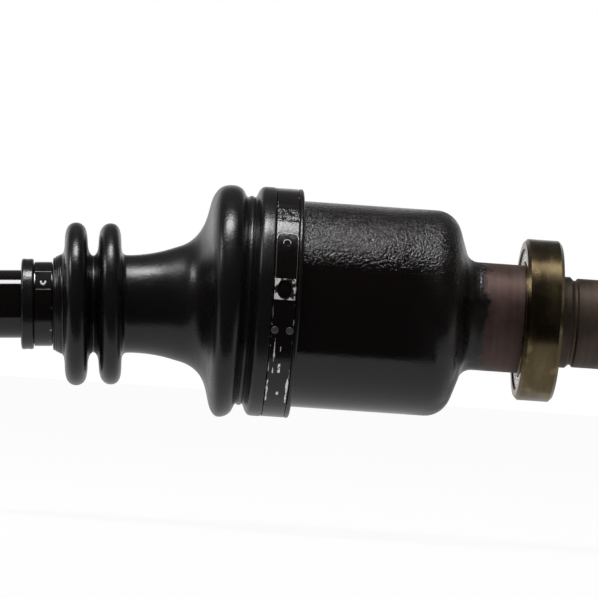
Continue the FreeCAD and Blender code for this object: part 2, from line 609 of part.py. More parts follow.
bead = "-Sizes.bead_ahead"
bead_outer = rounded_fold(bead, "Sizes.bead_half_width", "Sizes.bead_crest", "5", "0")
bead_inner = rounded_fold(bead, "Sizes.bead_half_width - Sizes.boot_wall", "Sizes.bead_crest",
                          "4", "Sizes.boot_wall")
valley = "-Sizes.valley_ahead"
collar_out = "-Sizes.collar_ahead"
band_far = "-Sizes.collar_end - Sizes.lip_width - Sizes.large_band_width"
band_near = "-Sizes.collar_end - Sizes.lip_width"
collar_bore = "Sizes.tulip_radius + Sizes.boot_clearance"
tulip_half = turned_piece("boot_tulip_half", [
    zone_point("Sizes.ball_zone", "Sizes.zone_edge - 2"),
    zone_point("Sizes.ball_zone", "Sizes.zone_edge"),
    zone_point("Sizes.ball_zone", "Sizes.zone_edge + 3"),
    *bead_outer,
    (valley, "Sizes.valley_crest + 0.6"),
    (f"{collar_out} - 1.2", "Sizes.large_band_seat - 0.5"),
    (collar_out, "Sizes.collar_crest"),
    (band_far, "Sizes.collar_crest"),
    (band_far, "Sizes.large_band_seat"),
    (band_near, "Sizes.large_band_seat"),
    (band_near, "Sizes.collar_crest - 0.4"),
    (f"{band_near} + Sizes.lip_width / 4", "Sizes.collar_crest"),
    (f"{band_near} + 3 * Sizes.lip_width / 4", "Sizes.collar_crest"),
    ("-Sizes.collar_end", "Sizes.collar_crest - 0.6"),
    ("-Sizes.collar_end", collar_bore),
    (f"-Sizes.mouth_ahead - Sizes.boot_clearance", collar_bore),
    (f"-Sizes.mouth_ahead - Sizes.boot_clearance - 1", "Sizes.valley_crest - Sizes.boot_wall"),
    (f"{valley} - 0.6", "Sizes.valley_crest - Sizes.boot_wall"),
    *reversed(bead_inner),
    zone_point(inner_zone, "Sizes.zone_edge + 3"),
    zone_point(inner_zone, "Sizes.zone_edge"),
    zone_point(inner_zone, "Sizes.zone_edge - 2")], node=False)

fold_half = "Sizes.fold_width / 2"
folds = []
inner_folds = []
for centre in ("-Sizes.fold_near", "-Sizes.fold_far"):
    crown = rounded_fold(centre, fold_half, "Sizes.fold_crest", "Sizes.fold_round", "0")
    folds.append([(f"{centre} + {fold_half} + 0.5", "Sizes.fold_root + 0.3"),
                  *reversed(crown),
                  (f"{centre} - {fold_half} - 0.5", "Sizes.fold_root + 0.3")])
    crown = rounded_fold(centre, f"{fold_half} - Sizes.boot_wall", "Sizes.fold_crest",
                         "Sizes.fold_round - 1", "Sizes.boot_wall")
    inner_folds.append([
        (f"{centre} + {fold_half} - Sizes.boot_wall", "Sizes.fold_root - Sizes.boot_wall"),
        *reversed(crown),
        (f"{centre} - {fold_half} + Sizes.boot_wall", "Sizes.fold_root - Sizes.boot_wall")])
small_near = "-Sizes.cone_end - 0.3"
small_far = "-Sizes.cone_end - 0.3 - Sizes.small_band_width"
boot_end = f"{small_far} - Sizes.small_lip_width"
cuff_bore = "Sizes.bar_radius + Sizes.boot_clearance"
bar_points = [
    zone_point("Sizes.ball_zone", "Sizes.zone_edge + 2"),
    zone_point("Sizes.ball_zone", "Sizes.zone_edge"),
    zone_point("Sizes.ball_zone", "(Sizes.zone_edge + Sizes.flare_radius) / 2"),
    (f"-Sizes.waist_start + 2.4", "Sizes.flare_radius + 1.2"),
    ("-Sizes.waist_start", "Sizes.flare_radius"),
    ("-Sizes.waist_mid", "Sizes.waist_radius"),
    ("-Sizes.waist_end", "Sizes.neck_radius"),
    *folds[0], ("-(Sizes.fold_near + Sizes.fold_far) / 2", "Sizes.fold_root"), *folds[1],
    ("-Sizes.cone_start", "Sizes.cone_top"),
    ("-Sizes.cone_end", "Sizes.cone_root"),
    (small_near, "Sizes.small_band_seat"),
    (small_far, "Sizes.small_band_seat"),
    (small_far, "Sizes.small_lip_crest - 0.8"),
    (f"{small_far} - 1", "Sizes.small_lip_crest"),
    (f"{boot_end} + 1.6", "Sizes.small_lip_crest"),
    (boot_end, "Sizes.small_lip_crest - 2"),
    (boot_end, cuff_bore),
    (f"{small_near} + 1", cuff_bore),
    ("-Sizes.cone_start", "Sizes.fold_root - Sizes.boot_wall"),
    *reversed(inner_folds[1]), *reversed(inner_folds[0]),
    ("-Sizes.waist_end", "Sizes.neck_radius - Sizes.boot_wall"),
    ("-Sizes.waist_mid", "Sizes.waist_radius - Sizes.boot_wall"),
    ("-Sizes.waist_start", "Sizes.flare_radius - Sizes.boot_wall"),
    (f"-Sizes.waist_start + 3.4", "Sizes.flare_radius"),
    zone_point(inner_zone, "(Sizes.zone_edge + Sizes.flare_radius) / 2"),
    zone_point(inner_zone, "Sizes.zone_edge"),
    zone_point(inner_zone, "Sizes.zone_edge + 2")]
bar_half = turned_piece("boot_bar_half", bar_points, node=False)
on_bar(bar_half)
at_joint(tulip_half)
boot = doc.addObject("Part::Fuse", "boot")
boot.Label = "boot"
boot.Base = tulip_half
boot.Tool = bar_half
nodes.append(boot)


def clamp(label, seat_radius, far, near, lap_angle, lugs, windows=()):
    """A band clamp: a closed band, a lap over its join, lugs across it and windows through it."""
    inner = f"{seat_radius} + Sizes.band_clearance"
    top = f"{inner} + Sizes.band_thickness"
    body = turned_piece(label, [(far, inner), (near, inner), (near, top), (far, top)])
    lap_sketch = sketch_on(body, f"{label}_lap_profile", "XZ_Plane")
    outline(lap_sketch, [
        (f"{far} + Sizes.lap_inset", f"{top} - 0.1"),
        (f"{near} - Sizes.lap_inset", f"{top} - 0.1"),
        (f"{near} - Sizes.lap_inset", f"{top} + Sizes.lap_thickness"),
        (f"{far} + Sizes.lap_inset", f"{top} + Sizes.lap_thickness")])
    revolve(body, f"{label}_lap", lap_sketch, angle=lap_angle)
    for number, height in enumerate(lugs, 1):
        nearest = f"min(abs({height}); abs({height} + Sizes.lug_width))"
        foot = f"sqrt(pow({inner}; 2) - pow({nearest}; 2)) + 0.02"
        lug_sketch = sketch_on(body, f"{label}_lug_{number}_profile", "XZ_Plane", foot)
        outline(lug_sketch, [
            (f"{far} + 2 * Sizes.lap_inset", height),
            (f"{near} - 2 * Sizes.lap_inset", height),
            (f"{near} - 2 * Sizes.lap_inset", f"{height} + Sizes.lug_width"),
            (f"{far} + 2 * Sizes.lap_inset", f"{height} + Sizes.lug_width")])
        lug = body.newObject("PartDesign::Pad", f"{label}_lug_{number}")
        lug.Profile = lug_sketch
        lug.setExpression("Length", f"sqrt(pow({top} + Sizes.lap_thickness; 2) - pow({height}; 2))"
                                    f" + Sizes.lug_height - ({foot})")
    middle = f"({far} + ({near})) / 2"
    for number, (low, high) in enumerate(windows, 1):
        window_sketch = sketch_on(body, f"{label}_window_{number}_profile", "XZ_Plane",
                                  f"{seat_radius} / 2")
        outline(window_sketch, [
            (f"{middle} - Sizes.window_width / 2", low), (f"{middle} + Sizes.window_width / 2", low),
            (f"{middle} + Sizes.window_width / 2", high), (f"{middle} - Sizes.window_width / 2", high)])
        pocket(body, f"{label}_window_{number}", window_sketch, f"{seat_radius}", reverse=True)
    return body


clamp("large_clamp", "Sizes.large_band_seat", clamp_far, clamp_near, "Sizes.lap_angle",
      ("Sizes.lug_low", "Sizes.lug_high"),
      (("Sizes.window_start", "Sizes.window_end"), ("Sizes.hook_start", "Sizes.hook_end")))
small_clamp = clamp("small_clamp", "Sizes.small_band_seat", small_far, small_near,
                    "Sizes.small_lap_angle", ("Sizes.small_lug_low", "Sizes.small_lug_high"))
on_bar(small_clamp)

doc.recompute()

# Every object is sound before any file is written
for item in doc.Objects:
    if {"Invalid", "Error"} & set(item.State):
        raise RuntimeError(f"{item.Name} failed: {item.State}")
for item in nodes:
    if item.Shape.isNull() or not item.Shape.isValid():
        raise RuntimeError(f"{item.Label} has no valid shape")
cup_room = Part.makeCylinder(size("stem_radius"), size("cup_depth") - 1,
                             FreeCAD.Vector(worked(mouth) + 0.5, 0, 0), FreeCAD.Vector(1, 0, 0))
if tulip.Shape.common(cup_room).Volume > cup_room.Volume * 0.2:
    raise RuntimeError("the roller tracks were not cut")

os.makedirs("parts", exist_ok=True)
for item in nodes:
    item.Shape.exportStep(f"parts/{item.Label}.step")
    box = item.Shape.BoundBox
    print(f"{item.Label:22s} {len(item.Shape.Solids):3d} {item.Shape.Volume:10.1f}"
          f"  x {box.XMin:8.2f} {box.XMax:8.2f}  y {box.YMin:7.2f} {box.YMax:7.2f}"
          f"  z {box.ZMin:7.2f} {box.ZMax:7.2f}")
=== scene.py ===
"""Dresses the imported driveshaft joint: finishes for its steel and paint, and its boot, clamps,
shields and spring."""
import json
import math

import bmesh
import bpy
from bpy.props import FloatProperty, FloatVectorProperty, IntProperty, PointerProperty
from mathutils import Matrix, Vector


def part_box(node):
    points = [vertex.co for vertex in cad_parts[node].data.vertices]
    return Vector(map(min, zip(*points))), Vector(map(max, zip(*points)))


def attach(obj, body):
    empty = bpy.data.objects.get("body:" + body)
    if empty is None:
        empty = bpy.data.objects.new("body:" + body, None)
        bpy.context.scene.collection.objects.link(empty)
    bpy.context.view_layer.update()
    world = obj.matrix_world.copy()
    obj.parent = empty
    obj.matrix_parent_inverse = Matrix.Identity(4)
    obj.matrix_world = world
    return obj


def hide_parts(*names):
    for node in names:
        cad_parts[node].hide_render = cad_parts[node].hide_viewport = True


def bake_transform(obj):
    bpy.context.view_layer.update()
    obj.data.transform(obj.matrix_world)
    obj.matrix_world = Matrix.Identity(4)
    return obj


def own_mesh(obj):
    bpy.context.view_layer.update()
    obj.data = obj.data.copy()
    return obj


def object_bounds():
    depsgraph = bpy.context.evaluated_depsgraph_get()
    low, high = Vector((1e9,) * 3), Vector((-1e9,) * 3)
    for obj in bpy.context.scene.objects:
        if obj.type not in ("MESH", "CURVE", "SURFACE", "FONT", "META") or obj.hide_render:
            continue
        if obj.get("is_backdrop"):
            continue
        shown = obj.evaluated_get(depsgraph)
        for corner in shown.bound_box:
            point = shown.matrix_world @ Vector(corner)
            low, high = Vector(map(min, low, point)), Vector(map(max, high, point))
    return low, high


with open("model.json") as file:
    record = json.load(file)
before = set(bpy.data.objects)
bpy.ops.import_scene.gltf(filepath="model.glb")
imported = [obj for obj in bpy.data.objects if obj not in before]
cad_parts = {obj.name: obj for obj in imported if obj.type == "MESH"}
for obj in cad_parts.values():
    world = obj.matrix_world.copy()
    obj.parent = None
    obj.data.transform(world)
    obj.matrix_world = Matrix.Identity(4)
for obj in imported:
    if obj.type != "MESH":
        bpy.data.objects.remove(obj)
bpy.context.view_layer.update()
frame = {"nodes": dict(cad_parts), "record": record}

bl_info = {
    "name": "Driveshaft joint",
    "version": (1, 0, 0),
    "blender": (4, 5, 0),
    "location": "View3D > Sidebar > Driveshaft",
    "description": "Finishes and soft parts of a plunging driveshaft joint",
    "category": "Object",
}

MM = 0.001
DEG = math.radians(1)
JOINTS = {joint["name"]: joint for joint in frame["record"]["behaviour"]["joints"]}
JOINT_CENTRE = Vector(JOINTS["bend_sideways"]["pos_m"])
SIDE_AXIS = Vector(JOINTS["bend_sideways"]["axis"])
REST_BEND = math.atan2(SIDE_AXIS.x, SIDE_AXIS.z)


# Sizes and colours

class BootSizes(bpy.types.PropertyGroup):
    """Sizes of the rubber boot."""
    wall: FloatProperty(name="Wall", description="Thickness of the rubber", default=1.7 * MM,
                        min=0.5 * MM, unit="LENGTH")
    ring_step: FloatProperty(name="Ring step", description="Distance between rings along the skin",
                             default=0.55 * MM, min=0.2 * MM, unit="LENGTH")
    segments: IntProperty(name="Segments", description="Faces round the boot", default=144, min=24)
    bend_start: FloatProperty(name="Bend start", description="Where the skin starts to follow the bar",
                              default=-17 * MM, unit="LENGTH")
    bend_end: FloatProperty(name="Bend end", description="Where the skin has turned to the bar's axis",
                            default=-42 * MM, unit="LENGTH")
    rib_count: IntProperty(name="Cone ribs", description="Fine ribs on the cone by the small clamp",
                           default=4, min=1)
    rib_height: FloatProperty(name="Rib height", description="Radius of a fine rib's bead",
                              default=0.22 * MM, unit="LENGTH")


class ClampSizes(bpy.types.PropertyGroup):
    """Sizes of the two band clamps."""
    band_thickness: FloatProperty(name="Band thickness", description="Sheet thickness",
                                  default=0.55 * MM, unit="LENGTH")
    edge_round: FloatProperty(name="Edge round", description="Rounding of the sheet's edges",
                              default=0.16 * MM, unit="LENGTH")
    bump_radius: FloatProperty(name="Bump", description="Radius of a pressed bump",
                                default=1.5 * MM, unit="LENGTH")


class SpringSizes(bpy.types.PropertyGroup):
    """Sizes of the thrust spring inside the tulip."""
    wire: FloatProperty(name="Wire", description="Radius of the wire", default=1 * MM, unit="LENGTH")
    radius: FloatProperty(name="Coil radius", description="From the axis to the wire's middle",
                          default=7.4 * MM, unit="LENGTH")
    coils: FloatProperty(name="Coils", description="Turns of the wire", default=6.5, min=1)
    travel: FloatProperty(name="Travel", description="How far the cup pushes it together",
                          default=16 * MM, unit="LENGTH")


class FinishColours(bpy.types.PropertyGroup):
    """Colours of the finishes."""
    paint: FloatVectorProperty(name="Paint", description="Black paint", subtype="COLOR",
                               size=3, default=(0.0034, 0.0020, 0.0020), min=0, max=1)
    rubber: FloatVectorProperty(name="Rubber", description="Boot rubber", subtype="COLOR",
                                size=3, default=(0.0048, 0.0038, 0.0042), min=0, max=1)
    stem: FloatVectorProperty(name="Stem steel", description="Oiled steel left of the bearing",
                              subtype="COLOR", size=3, default=(0.104, 0.060, 0.052), min=0, max=1)
    shaft: FloatVectorProperty(name="Shaft steel", description="Oiled steel right of the bearing",
                               subtype="COLOR", size=3, default=(0.075, 0.054, 0.038), min=0, max=1)
    bearing: FloatVectorProperty(name="Bearing", description="Oiled bearing steel", subtype="COLOR",
                                 size=3, default=(0.175, 0.132, 0.072), min=0, max=1)
    shield: FloatVectorProperty(name="Shield", description="Bright pressed shield",
                                subtype="COLOR", size=3, default=(0.62, 0.61, 0.60), min=0, max=1)


class StageSizes(bpy.types.PropertyGroup):
    """Camera, floor and lamps."""
    distance: FloatProperty(name="Camera distance", description="From the camera to the joint",
                            default=1.8, unit="LENGTH")
    swing: FloatProperty(name="Camera swing", description="Turn of the camera towards the bar",
                         default=2.7 * DEG, unit="ROTATION")
    view_width: FloatProperty(name="View width", description="Width seen at the joint",
                              default=0.2292, unit="LENGTH")
    aim_x: FloatProperty(name="Aim along", description="Point looked at, along the shaft",
                         default=-0.0920, unit="LENGTH")
    aim_z: FloatProperty(name="Aim up", description="Point looked at, above the shaft",
                         default=0.0019, unit="LENGTH")
    floor_gap: FloatProperty(name="Floor gap",
                             description="Room for the bar to bend down above the floor",
                             default=42 * MM, unit="LENGTH")
    sheet_edge: FloatProperty(name="Sheet edge", description="Near edge of the white sheet",
                              default=-0.080, unit="LENGTH")
    fill: FloatProperty(name="Fill", description="Strength of the room's light", default=0.35, min=0)
    key_power: FloatProperty(name="Top lamp", description="Power of the lamp above the boot",
                             default=5.9, unit="POWER")
    long_power: FloatProperty(name="Long lamp", description="Power of the long dim lamp above",
                              default=3.4, unit="POWER")
    right_power: FloatProperty(name="Right lamp", description="Power of the lamp above the bearing",
                               default=0.4, unit="POWER")
    left_power: FloatProperty(name="Left lamp", description="Power of the small lamp at the left",
                              default=1.6, unit="POWER")


# Places along the joint

def smooth(value):
    """0 to 1 with level ends."""
    value = min(1.0, max(0.0, value))
    return value * value * (3 - 2 * value)


def rest_turn(along, sizes):
    """How far the skin has turned from the tulip's axis to the bar's, at a place along it."""
    return REST_BEND * smooth((sizes.bend_start - along) / (sizes.bend_start - sizes.bend_end))


def along_bend(along, turn):
    """The point of the centre line at a distance from the joint's centre, for a turn."""
    return JOINT_CENTRE + Matrix.Rotation(turn, 3, "Y") @ Vector((along, 0, 0))


BAR_FRAME = Matrix.Translation(JOINT_CENTRE) @ Matrix.Rotation(REST_BEND, 4, "Y")
TULIP_FRAME = Matrix.Translation(JOINT_CENTRE)


# Meshes

# Points closer than this are one, in metres
WELD = 1e-7


def put_in_scene(name, data):
    """A new object in the scene for a mesh, a lamp or a camera."""
    item = bpy.data.objects.new(name, data)
    bpy.context.scene.collection.objects.link(item)
    return item


def mesh_object(name, vertices, faces, smooth_angle=40):
    """A new object in the scene from vertices and faces, smooth but for its sharp edges."""
    mesh = bpy.data.meshes.new(name)
    mesh.from_pydata([tuple(v) for v in vertices], [], faces)
    mesh.update()
    work = bmesh.new()
    work.from_mesh(mesh)
    bmesh.ops.remove_doubles(work, verts=work.verts, dist=WELD)
    bmesh.ops.recalc_face_normals(work, faces=work.faces)
    for face in work.faces:
        face.smooth = True
    limit = math.radians(smooth_angle)
    for edge in work.edges:
        if len(edge.link_faces) == 2 and edge.calc_face_angle(0) > limit:
            edge.smooth = False
    work.to_mesh(mesh)
    work.free()
    return put_in_scene(name, mesh)


def finish_with(piece, material, body=None, replaces=()):
    """Gives a piece its material and its body, and the nodes that it stands for."""
    piece.data.materials.clear()
    piece.data.materials.append(material)
    if body:
        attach(piece, body)
    if replaces:
        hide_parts(*replaces)


def catmull(points, step):
    """A smooth line through points, cut about evenly."""
    line = []
    count = len(points)
    for i in range(count - 1):
        before = Vector(points[max(0, i - 1)])
        start = Vector(points[i])
        stop = Vector(points[i + 1])
        after = Vector(points[min(count - 1, i + 2)])
        cuts = max(1, round((stop - start).length / step))
        for k in range(cuts):
            t = k / cuts
            line.append(0.5 * ((2 * start) + (stop - before) * t
                               + (2 * before - 5 * start + 4 * stop - after) * t * t
                               + (3 * start - before - 3 * stop + after) * t * t * t))
    line.append(Vector(points[-1]))
    return line


def quads(rings, around, closed=False):
    """Faces between rings of points, each ring closed; closed joins the last ring to the first."""
    faces = []
    for i in range(rings if closed else rings - 1):
        here, there = i * around, (i + 1) % rings * around
        for k in range(around):
            m = (k + 1) % around
            faces.append((here + k, here + m, there + m, there + k))
    return faces


def turned(name, profile, segments, smooth_angle):
    """Turns a closed profile of (along, radius) points about the shaft's axis."""
    vertices = []
    for along, radius in profile:
        for k in range(segments):
            angle = 2 * math.pi * k / segments
            vertices.append((along, radius * math.sin(angle), radius * math.cos(angle)))
    return mesh_object(name, vertices, quads(len(profile), segments, True), smooth_angle)


# Materials

class Finish:
    """A small node tree of one material."""

    def __init__(self, name):
        self.material = bpy.data.materials.new(name)
        self.material.use_nodes = True
        self.nodes = self.material.node_tree.nodes
        self.links = self.material.node_tree.links
        self.shader = self.nodes["Principled BSDF"]
        self.place = self.nodes.new("ShaderNodeTexCoord").outputs["Object"]

    def link(self, source, target):
        """Joins an output to an input."""
        self.links.new(source, target)

    def scaled(self, scale, origin=(0, 0, 0)):
        """Object coordinates with a scale for each axis."""
        mapping = self.nodes.new("ShaderNodeMapping")
        mapping.inputs["Scale"].default_value = scale
        mapping.inputs["Location"].default_value = origin
        self.link(self.place, mapping.inputs["Vector"])
        return mapping.outputs["Vector"]

    def noise(self, vector, scale, detail=3.0, roughness=0.55):
        """A soft random pattern from 0 to 1."""
        node = self.nodes.new("ShaderNodeTexNoise")
        node.inputs["Scale"].default_value = scale
        node.inputs["Detail"].default_value = detail
        node.inputs["Roughness"].default_value = roughness
        self.link(vector, node.inputs["Vector"])
        return node.outputs["Fac"]

    def math(self, operation, first, second=0.0, third=None):
        """One step of arithmetic on numbers or outputs."""
        node = self.nodes.new("ShaderNodeMath")
        node.operation = operation
        for socket, value in zip(node.inputs, (first, second, third)):
            if value is None:
                continue
            if isinstance(value, (int, float)):
                socket.default_value = value
            else:
                self.link(value, socket)
        return node.outputs[0]

    def times(self, first, second):
        """One value times another."""
        return self.math("MULTIPLY", first, second)

    def ramp(self, value, low, high, start=0.0, stop=1.0):
        """Maps low..high to start..stop, held at the ends."""
        node = self.nodes.new("ShaderNodeMapRange")
        node.inputs["From Min"].default_value = low
        node.inputs["From Max"].default_value = high
        node.inputs["To Min"].default_value = start
        node.inputs["To Max"].default_value = stop
        self.link(value, node.inputs["Value"])
        return node.outputs["Result"]

    def mix(self, factor, first, second):
        """Mixes two colours or colour outputs."""
        node = self.nodes.new("ShaderNodeMix")
        node.data_type = "RGBA"
        for index, value in ((0, factor), (6, first), (7, second)):
            socket = node.inputs[index]
            if isinstance(value, (int, float)):
                socket.default_value = value
            elif isinstance(value, (tuple, list)):
                socket.default_value = (*value, 1.0)
            else:
                self.link(value, socket)
        return node.outputs[2]

    def axis(self, name, vector=None):
        """One coordinate of a place, the point's own if none is given."""
        node = self.nodes.new("ShaderNodeSeparateXYZ")
        self.link(vector or self.place, node.inputs[0])
        return node.outputs[name]

    def bump(self, height, strength, distance, under=None):
        """A relief, on top of another if one is given."""
        node = self.nodes.new("ShaderNodeBump")
        node.inputs["Strength"].default_value = strength
        node.inputs["Distance"].default_value = distance
        self.link(height, node.inputs["Height"])
        if under:
            self.link(under, node.inputs["Normal"])
        return node.outputs["Normal"]

    def set(self, **values):
        """Sets or feeds the shader's own sockets."""
        for name, value in values.items():
            socket = self.shader.inputs[name.replace("_", " ")]
            if isinstance(value, (int, float)):
                socket.default_value = value
            elif isinstance(value, (tuple, list)):
                socket.default_value = (*value, 1.0)
            else:
                self.link(value, socket)


# Sheet steel where its coating is rubbed off, also the painted highlight on the clamps' rims and tongue,
# and drawn wire
BARE_SHEET_AND_HIGHLIGHT = (0.80, 0.79, 0.76)
DRAWN_WIRE = (0.22, 0.20, 0.18)


def colours():
    """The finish colours as plain tuples."""
    group = bpy.context.scene.driveshaft_colours
    return {name: tuple(getattr(group, name)) for name in
            ("paint", "rubber", "stem", "shaft", "bearing", "shield")}


def tint(colour, factor):
    """A colour made lighter or darker."""
    return tuple(min(1.0, channel * factor) for channel in colour)


def forging_finish(hue):
    """Gloss black paint over a rough forging, ragged at the stem, then oiled steel."""
    look = Finish("forging_paint_and_steel")
    along, height = look.axis("X"), look.axis("Z")
    ragged = look.noise(look.scaled((0.6, 1, 1)), 120, 3, 0.6)
    edge = look.math("ADD", along, look.times(look.math("SUBTRACT", ragged, 0.5), 0.011))
    bare = look.ramp(edge, -0.0222, -0.0200)
    right_side = look.ramp(along, 0.0055, 0.0065)
    # steel: fine turned lines round the shaft, stains along it
    lines = look.noise(look.scaled((2400, 60, 60)), 1.0, 3, 0.6)
    broad = look.noise(look.scaled((420, 12, 12)), 1.0, 2, 0.5)
    scratches = look.noise(look.scaled((260, 1700, 1700)), 1.0, 2, 0.6)
    stains = look.noise(look.place, 75, 4, 0.6)
    steel = look.mix(right_side, hue["stem"], hue["shaft"])
    steel = look.mix(look.ramp(stains, 0.32, 0.68), look.mix(0.5, steel, (0.004, 0.002, 0.001)), steel)
    steel = look.mix(look.ramp(broad, 0.40, 0.75, 0, 0.25), steel, tint(hue["stem"], 1.9))
    # paint: dust specks and a faint brown dirt towards the stem
    grain = look.noise(look.place, 1100, 2, 0.6)
    lumps = look.noise(look.place, 110, 3, 0.5)
    specks = look.noise(look.place, 1500, 2, 0.5)
    dusty = look.ramp(height, 0.006, 0.022)
    paint = look.mix(look.times(look.ramp(specks, 0.64, 0.72, 0, 0.18), dusty),
                     hue["paint"], (0.10, 0.095, 0.09))
    dirt = look.times(look.ramp(along, -0.052, -0.034), look.ramp(lumps, 0.36, 0.60, 0.45, 1.0))
    paint = look.mix(dirt, paint, (0.0085, 0.0060, 0.0052))
    paint_side = look.math("SUBTRACT", 1.0, bare)
    rough_paint = look.math("ADD", look.ramp(lumps, 0.3, 0.75, 0.06, 0.11),
                            look.math("MULTIPLY_ADD", dirt, 0.36, look.times(dusty, 0.03)))
    rough_steel = look.ramp(stains, 0.3, 0.7, 0.44, 0.58)
    rough = look.nodes.new("ShaderNodeMix")
    look.link(bare, rough.inputs[0])
    look.link(rough_paint, rough.inputs[2])
    look.link(rough_steel, rough.inputs[3])
    coarse = look.times(look.math("MULTIPLY_ADD", dusty, 0.88, 0.12), paint_side)
    forged = look.times(look.math("ADD", grain, look.times(lumps, 0.3)), coarse)
    turned_lines = look.times(look.math("ADD", lines, look.times(scratches, 0.7)), bare)
    normal = look.bump(forged, 0.75, 0.00060)
    normal = look.bump(turned_lines, 0.45, 0.00010, normal)
    normal = look.bump(paint_side, 0.5, 0.00025, normal)
    look.set(Base_Color=look.mix(bare, paint, steel), Metallic=look.times(bare, 0.55),
             Roughness=rough.outputs[0], Normal=normal, Specular_IOR_Level=0.5)
    return look.material


def bar_finish(hue):
    """Smooth gloss black paint."""
    look = Finish("bar_gloss_paint")
    ripple = look.noise(look.scaled((0.25, 1, 1)), 260, 2, 0.4)
    dust = look.noise(look.place, 1300, 2, 0.5)
    normal = look.bump(ripple, 0.12, 0.00006)
    dusty = look.ramp(dust, 0.66, 0.8, 0, 0.08)
    look.set(Base_Color=look.mix(dusty, hue["paint"], (0.12, 0.12, 0.12)),
             Roughness=look.ramp(ripple, 0.3, 0.7, 0.05, 0.09), Normal=normal)
    return look.material


def rubber_finish(hue):
    """Glossed black rubber with a fine moulded skin, drier in patches."""
    look = Finish("boot_rubber_skin")
    skin = look.noise(look.place, 850, 3, 0.6)
    bloom = look.noise(look.place, 42, 4, 0.6)
    moulded = look.noise(look.scaled((1, 0.4, 0.4)), 240, 2, 0.5)
    normal = look.bump(look.math("ADD", skin, look.times(moulded, 0.8)), 0.35, 0.00022)
    dry = look.ramp(bloom, 0.4, 0.75, 0, 0.5)
    look.set(Base_Color=look.mix(dry, hue["rubber"], (0.0095, 0.0085, 0.0085)),
             Roughness=look.ramp(bloom, 0.32, 0.68, 0.20, 0.34), Normal=normal, Specular_IOR_Level=0.5)
    return look.material


# Rubbed marks on the camera's side of the large clamp: place along, lowest and highest z, half
# width, in millimetres from the joint's centre
LARGE_WEAR = ((-9.3, -26.5, -13.5, 0.17), (-7.0, -26.2, -23.2, 0.32), (-7.0, -18.0, -16.8, 0.18),
              (-10.75, -37.0, -29.5, 0.2), (-3.35, -37.5, -28.5, 0.24), (-6.7, -34.6, -33.8, 0.32))


def clamp_finish(hue, name, centre, half_width, marks):
    """Thin gloss coating on sheet steel, rubbed bright along its edges and in marks."""
    look = Finish(name)
    vector = look.scaled((1, 1, 1), origin=(-centre, 0, 0))
    along, height = look.axis("X", vector), look.axis("Z", vector)
    front = look.ramp(look.axis("Y", vector), -0.004, -0.006)
    edge = look.ramp(look.math("ABSOLUTE", along), half_width * 0.9, half_width * 0.97)
    patches = look.noise(look.place, 210, 4, 0.65)
    fine = look.noise(look.place, 900, 3, 0.6)
    wear_and_highlight = look.times(edge, look.ramp(patches, 0.56, 0.62, 0, 0.7))
    shift = JOINT_CENTRE.x - centre
    for place, low, high, half in marks:
        across = look.math("ABSOLUTE", look.math("SUBTRACT", along, place * MM + shift))
        wander = look.math("MULTIPLY_ADD", look.math("SUBTRACT", patches, 0.5), 0.0016, across)
        line = look.ramp(wander, half * MM * 1.25, half * MM * 0.8)
        line = look.times(line, look.ramp(height, (low - 0.3) * MM, low * MM))
        line = look.times(line, look.ramp(height, (high + 0.3) * MM, high * MM))
        line = look.times(line, look.ramp(fine, 0.34, 0.44))
        wear_and_highlight = look.math("MAXIMUM", wear_and_highlight, look.times(line, front))
    crumpled = look.times(look.ramp(height, 0.0305, 0.0325), look.ramp(height, 0.0372, 0.0352))
    crumple = look.times(look.times(patches, crumpled), front if marks else 0.0)
    normal = look.bump(look.math("MULTIPLY_ADD", crumple, 8.0, look.times(fine, 0.25)),
                       0.5, 0.00030)
    look.set(Base_Color=look.mix(wear_and_highlight, hue["paint"], BARE_SHEET_AND_HIGHLIGHT),
             Metallic=look.times(wear_and_highlight, 0.35),
             Roughness=look.ramp(patches, 0.3, 0.7, 0.13, 0.24), Normal=normal)
    return look.material


def hook_finish(hue, centre):
    """The hook plate's coating, lighter towards its corners: partly rubbed bare steel, partly a painted
    highlight.
    """
    look = Finish("hook_rub_and_highlight_steel")
    vector = look.scaled((1, 1, 1), origin=(-centre.x, 0, -centre.z))
    along, height = look.axis("X", vector), look.axis("Z", vector)
    away = look.math("SQRT", look.math("MULTIPLY_ADD", along, along, look.times(height, height)))
    patches = look.noise(look.place, 420, 3, 0.6)
    # corners lighter than the middle: rubbed bare steel and a painted highlight where the corners would
    # catch the lamp
    rub_and_highlight = look.ramp(look.math("MULTIPLY_ADD", look.math("SUBTRACT", patches, 0.5), 8 * MM, away),
                       3.6 * MM, 4.5 * MM)
    look.set(Base_Color=look.mix(rub_and_highlight, tint(hue["paint"], 4), BARE_SHEET_AND_HIGHLIGHT),
             Metallic=look.times(rub_and_highlight, 0.35), Roughness=look.ramp(patches, 0.3, 0.7, 0.25, 0.45),
             Normal=look.bump(patches, 0.5, 0.0003))
    return look.material


def bearing_finish(hue):
    """Oiled ground steel, olive and brown, with fine lines round the ring."""
    look = Finish("oiled_bearing_steel")
    lines = look.noise(look.scaled((3800, 10, 10)), 1.0, 2, 0.5)
    film = look.noise(look.scaled((110, 48, 48)), 1.0, 4, 0.6)
    patch = look.noise(look.scaled((1, 1, 1), origin=(0.3, 0.1, 0.2)), 120, 2, 0.5)
    colour = look.mix(look.ramp(film, 0.35, 0.65), tint(hue["bearing"], 0.55), hue["bearing"])
    colour = look.mix(look.ramp(patch, 0.52, 0.60, 0, 0.45), colour, tint(hue["bearing"], 1.7))
    normal = look.bump(look.math("ADD", lines, look.times(film, 0.8)), 0.16, 0.00006)
    look.set(Base_Color=colour, Metallic=1.0, Roughness=look.ramp(film, 0.3, 0.7, 0.20, 0.32),
             Normal=normal)
    return look.material


